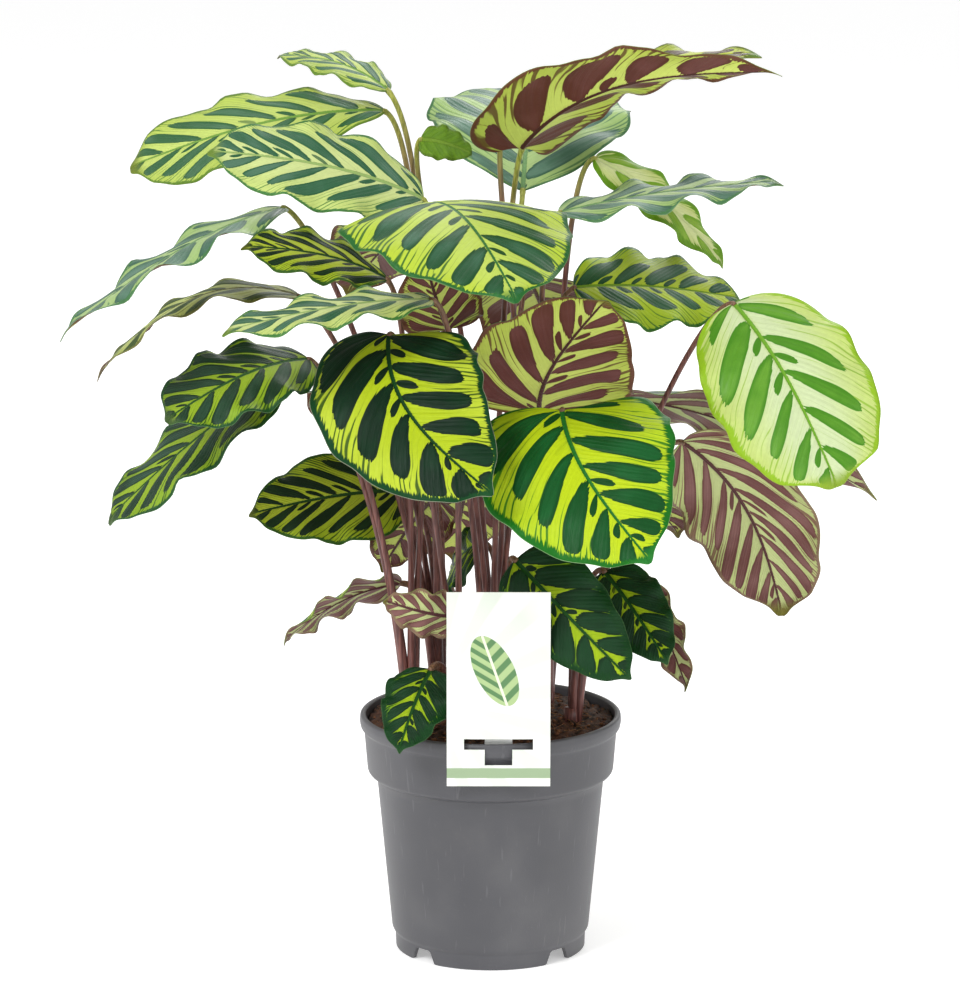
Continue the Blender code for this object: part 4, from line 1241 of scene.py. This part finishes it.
def build_soil(material):
    """The soil: its crusty top, its side and its foot in one closed mesh."""
    share = np.linspace(0.0, 1.0, SOIL_RINGS) ** 0.8
    angle = tau * np.arange(SOIL_STEPS) / SOIL_STEPS
    x = SOIL_RADIUS * share[:, None] * np.cos(angle)[None]
    y = SOIL_RADIUS * share[:, None] * np.sin(angle)[None]
    z = soil_height(x, y) + crumbly(x, y, 4)
    side = [
        (COLLAR_FOOT_RADIUS - WALL - SOIL_GAP - 0.2, COLLAR_FOOT + 3.8),
        (BODY_TOP_RADIUS - WALL - SOIL_GAP - 0.3, BODY_TOP + 0.6),
        (BODY_FOOT_RADIUS - WALL - SOIL_GAP - 0.2, BODY_FOOT + 2.0),
        (BODY_FOOT_RADIUS - WALL - SOIL_GAP - 2.0, FLOOR_LEVEL + SOIL_GAP),
        (0.0, FLOOR_LEVEL + SOIL_GAP),
    ]
    top = np.stack([x, y, z], -1)
    rings = [
        np.stack([radius * np.cos(angle), radius * np.sin(angle), np.full(SOIL_STEPS, height)], -1)
        for radius, height in side
    ]
    points = np.concatenate([top.reshape(-1, 3), np.concatenate(rings)])
    faces = grid_quads(SOIL_RINGS + len(side), SOIL_STEPS, wrap=True)
    item = mesh_object("soil_crust", points, faces)
    bm = bmesh.new()
    bm.from_mesh(item.data)
    bmesh.ops.remove_doubles(bm, verts=bm.verts, dist=0.00002)
    bmesh.ops.recalc_face_normals(bm, faces=bm.faces)
    bm.to_mesh(item.data)
    bm.free()
    return dress(item, "soil", [material])


# %% Crumbs and fibres on the soil
def crumb_shape():
    """Twelve corners and twenty faces of a regular solid, from bmesh's icosphere."""
    golden = (1.0 + 5.0**0.5) / 2.0
    bm = bmesh.new()
    bmesh.ops.create_icosphere(bm, subdivisions=1, radius=1.0)
    points = np.array([vert.co[:] for vert in bm.verts])
    faces = np.array([[vert.index for vert in face.verts] for face in bm.faces])
    bm.free()
    return points * (golden / golden), faces


def build_crumbs(material):
    """Crumbs of soil and bark: the same small shape, squashed and turned at random, half sunk."""
    draw = np.random.default_rng(11)
    shape, faces = crumb_shape()
    radius = (SOIL_RADIUS - 2.5) * np.sqrt(draw.uniform(0.0, 1.0, CRUMBS))
    angle = draw.uniform(0.0, tau, CRUMBS)
    x, y = radius * np.cos(angle), radius * np.sin(angle)
    size = 0.5 + 1.3 * draw.power(0.6, CRUMBS) ** 2.0
    size = np.minimum(size, 1.7)
    stretch = draw.uniform(0.6, 1.5, (CRUMBS, 3)) * np.array([1.0, 1.0, 0.6])
    turn = draw.uniform(0.0, tau, CRUMBS)
    knobs = draw.uniform(0.75, 1.2, (CRUMBS, len(shape), 1))
    local = shape[None] * knobs * stretch[:, None] * size[:, None, None]
    turned_x = local[..., 0] * np.cos(turn)[:, None] - local[..., 1] * np.sin(turn)[:, None]
    turned_y = local[..., 0] * np.sin(turn)[:, None] + local[..., 1] * np.cos(turn)[:, None]
    level = soil_height(x, y) + 0.25 * size
    points = np.stack([turned_x + x[:, None], turned_y + y[:, None], local[..., 2] + level[:, None]], -1)
    numbers = faces[None] + (np.arange(CRUMBS) * len(shape))[:, None, None]
    item = mesh_object("soil_crumbs", points.reshape(-1, 3), numbers.reshape(-1, 3))
    item.data.materials.append(material)
    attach(item, "root")
    return item


def build_fibres(material):
    """Coconut and peat fibres: short bent hairs that lie on the crust."""
    draw = np.random.default_rng(23)
    points, faces = [], []
    total = 0
    for _ in range(FIBRES):
        radius = (SOIL_RADIUS - 8.0) * draw.uniform(0.05, 1.0) ** 0.5
        angle = draw.uniform(0.0, tau)
        heading = draw.uniform(0.0, tau)
        length = draw.uniform(5.0, 13.0)
        t = np.linspace(-0.5, 0.5, 7)
        x = radius * cos(angle) + length * t * cos(heading) + 2.0 * t**2 * sin(heading)
        y = radius * sin(angle) + length * t * sin(heading) - 2.0 * t**2 * cos(heading)
        path = np.stack([x, y, soil_height(x, y) + 0.9], -1)
        radii = np.full(7, draw.uniform(0.12, 0.26))
        tube_points, tube_faces = tube(path, radii, 5)
        points.append(tube_points)
        faces += [tuple(corner + total for corner in face) for face in tube_faces]
        total += len(tube_points)
    item = mesh_object("soil_fibres", np.concatenate(points), faces)
    item.data.materials.append(material)
    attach(item, "root")
    return item


# %% [markdown]
# Damp peat is nearly black and a warm brown in random patches, with paler flecks. The crumbs and fibres
# take a paler version of the same material, so that single bits stand out.


# %% Soil materials
def soil_material(name, low, high, fleck):
    """Rough brown soil with flecks."""
    material, tree, shader = new_material(name, 0.95)
    place = object_place(tree)
    lump = noise(tree, place, 260.0, 4.0)
    bits = noise(tree, place, 900.0, 3.0)
    colour = mix(tree, lump.step(0.35, 0.68), low, high)
    colour = mix(tree, bits.step(0.6, 0.72), colour, fleck)
    plug(tree, colour, shader.inputs["Base Color"])
    plug(tree, bits * 0.2 + 0.75, shader.inputs["Roughness"])
    plug(tree, bump(tree, lump * 0.6 + bits * 0.4, 0.0012), shader.inputs["Normal"])
    return material


CRUST = soil_material("soil_crust", (38, 22, 12), (84, 50, 30), (138, 92, 56))
BARK = soil_material("soil_bark", (64, 36, 20), (124, 80, 48), (164, 118, 78))
build_soil(CRUST)
build_crumbs(BARK)
build_fibres(soil_material("soil_fibre", (110, 72, 40), (150, 106, 66), (176, 136, 92)))
print("soil with", CRUMBS, "crumbs and", FIBRES, "fibres")

# %% [markdown]
# The card is punched from thin white plastic. A T-shaped flap is cut free on three sides and folded
# back over the pot's lip, which holds the card upright. Its face carries a plain leaf pattern: a soft
# shadow of long leaflets, a sage band at the foot, and a simple oval leaf.

# %% Card sizes and shape
CARD_WIDTH = 54.0
CARD_BOTTOM = 107.0
CARD_TOP = 211.0
CARD_CENTRE = 4.2
CARD_BACK = 70.4
CARD_THICKNESS = 0.6
FLAP_TOP = 132.6
FLAP_WIDTH = 36.0
FLAP_DROP = 6.0
TONGUE_WIDTH = 14.4
TONGUE_DROP = 14.4


def card_faces(grid, columns, rows, holes):
    """The quads of a grid of cells, without the cells that are holes."""
    faces = []
    for column in range(columns):
        for row in range(rows):
            if (column, row) not in holes:
                faces.append(
                    (grid[column, row], grid[column + 1, row], grid[column + 1, row + 1], grid[column, row + 1])
                )
    return faces


def build_card(material):
    """The card: a plate with the T cut out and the flap folded back over the lip, then thickened."""
    lines = [CARD_CENTRE + offset for offset in (-27.0, -18.0, -7.2, 7.2, 18.0, 27.0)]
    levels = [CARD_BOTTOM, FLAP_TOP - TONGUE_DROP, FLAP_TOP - FLAP_DROP, FLAP_TOP, CARD_TOP]
    y = -(CARD_BACK + CARD_THICKNESS / 2)
    grid = {}
    points = []
    for column, x in enumerate(lines):
        for row, z in enumerate(levels):
            grid[column, row] = len(points)
            points.append((x, y, z))
    faces = card_faces(grid, 5, 4, {(2, 1), (1, 2), (2, 2), (3, 2)})
    hinge = [grid[column, 3] for column in range(1, 5)]
    previous = hinge
    for depth, height in ((-(LIP_RADIUS - 0.6), FLAP_TOP - 0.4), (-(LIP_RADIUS - 4.4), FLAP_TOP - 1.2)):
        row = []
        for corner in hinge:
            row.append(len(points))
            points.append((points[corner][0], depth, height))
        faces += [(previous[i], row[i], row[i + 1], previous[i + 1]) for i in range(3)]
        previous = row
    first, second = previous[1], previous[2]
    for depth, height in ((-(LIP_RADIUS - 5.6), FLAP_TOP - 3.6), (-(LIP_RADIUS - 6.0), FLAP_TOP - 11.0)):
        third, fourth = len(points), len(points) + 1
        points += [(points[first][0], depth, height), (points[second][0], depth, height)]
        faces.append((first, third, fourth, second))
        first, second = third, fourth
    item = mesh_object("label_card", points, faces, smooth=False)
    bm = bmesh.new()
    bm.from_mesh(item.data)
    loose = [vert for vert in bm.verts if not vert.link_faces]
    bmesh.ops.delete(bm, geom=loose, context="VERTS")
    bmesh.ops.recalc_face_normals(bm, faces=bm.faces)
    bm.to_mesh(item.data)
    bm.free()
    solid = item.modifiers.new("thickness", "SOLIDIFY")
    solid.thickness = CARD_THICKNESS * MM
    solid.offset = 0.0
    solid.use_even_offset = True
    return dress(item, "label", [material])


# %% [markdown]
# The print is drawn in the card's own millimetres. Long leaflets fan out from a line: the angle about a
# far point gives which leaflet it is, and the distance from each leaflet's middle gives its outline.


# %% Card material
def card_material():
    """White card with a soft leaf shadow, a sage band and an oval leaf."""
    material, tree, shader = new_material("label_print", 0.35)
    place = object_place(tree)
    split = tree.nodes.new("ShaderNodeSeparateXYZ")
    plug(tree, place, split.inputs[0])
    x = Wire(tree, split.outputs["X"]) * 1000.0 - CARD_CENTRE
    z = Wire(tree, split.outputs["Z"]) * 1000.0 - CARD_BOTTOM
    front = (Wire(tree, split.outputs["Y"]) * -1000.0).step(CARD_BACK + 0.2, CARD_BACK + 0.3)

    fan_x, fan_z = x + 34.0, z - 46.0
    turn = fan_z.math("ARCTAN2", fan_x)
    spread = (turn * 19.0).math("SINE") * 0.5 + 0.5
    far = (fan_x * fan_x + fan_z * fan_z).math("SQRT")
    shadow = spread.step(0.45, 0.75) * far.step(10.0, 34.0) * (far.step(62.0, 80.0) * -1.0 + 1.0)

    band = z.step(4.2, 4.5) * (z.step(9.6, 9.9) * -1.0 + 1.0)
    leaf_x, leaf_z = x * 1.0 + 2.0, z - 62.0
    lean = leaf_x + leaf_z * 0.35
    oval = ((lean / 11.0).math("POWER", 2.0) + (leaf_z / 19.0).math("POWER", 2.0)) * -1.0 + 1.0
    emblem = oval.step(0.0, 0.05)
    ribs = ((leaf_z * 0.9 + lean.math("ABSOLUTE") * -0.7).math("SINE") * 0.5 + 0.5).step(0.35, 0.6)
    spine = (lean.math("ABSOLUTE") * -1.0 + 0.7).step(-0.1, 0.1)

    colour = mix(tree, shadow * 0.55, (238, 240, 234), (200, 212, 196))
    colour = mix(tree, emblem, colour, (84, 128, 78))
    colour = mix(tree, emblem * ribs * 0.85, colour, (176, 200, 140))
    colour = mix(tree, emblem * spine, colour, (226, 232, 206))
    colour = mix(tree, band, colour, (150, 172, 136))
    colour = mix(tree, front, (240, 241, 238), colour)
    plug(tree, colour, shader.inputs["Base Color"])
    grain = noise(tree, place, 900.0, 2.0)
    plug(tree, grain * 0.08 + 0.30, shader.inputs["Roughness"])
    plug(tree, bump(tree, grain, 0.00003), shader.inputs["Normal"])
    return material


build_card(card_material())
print("card is hung over the lip")
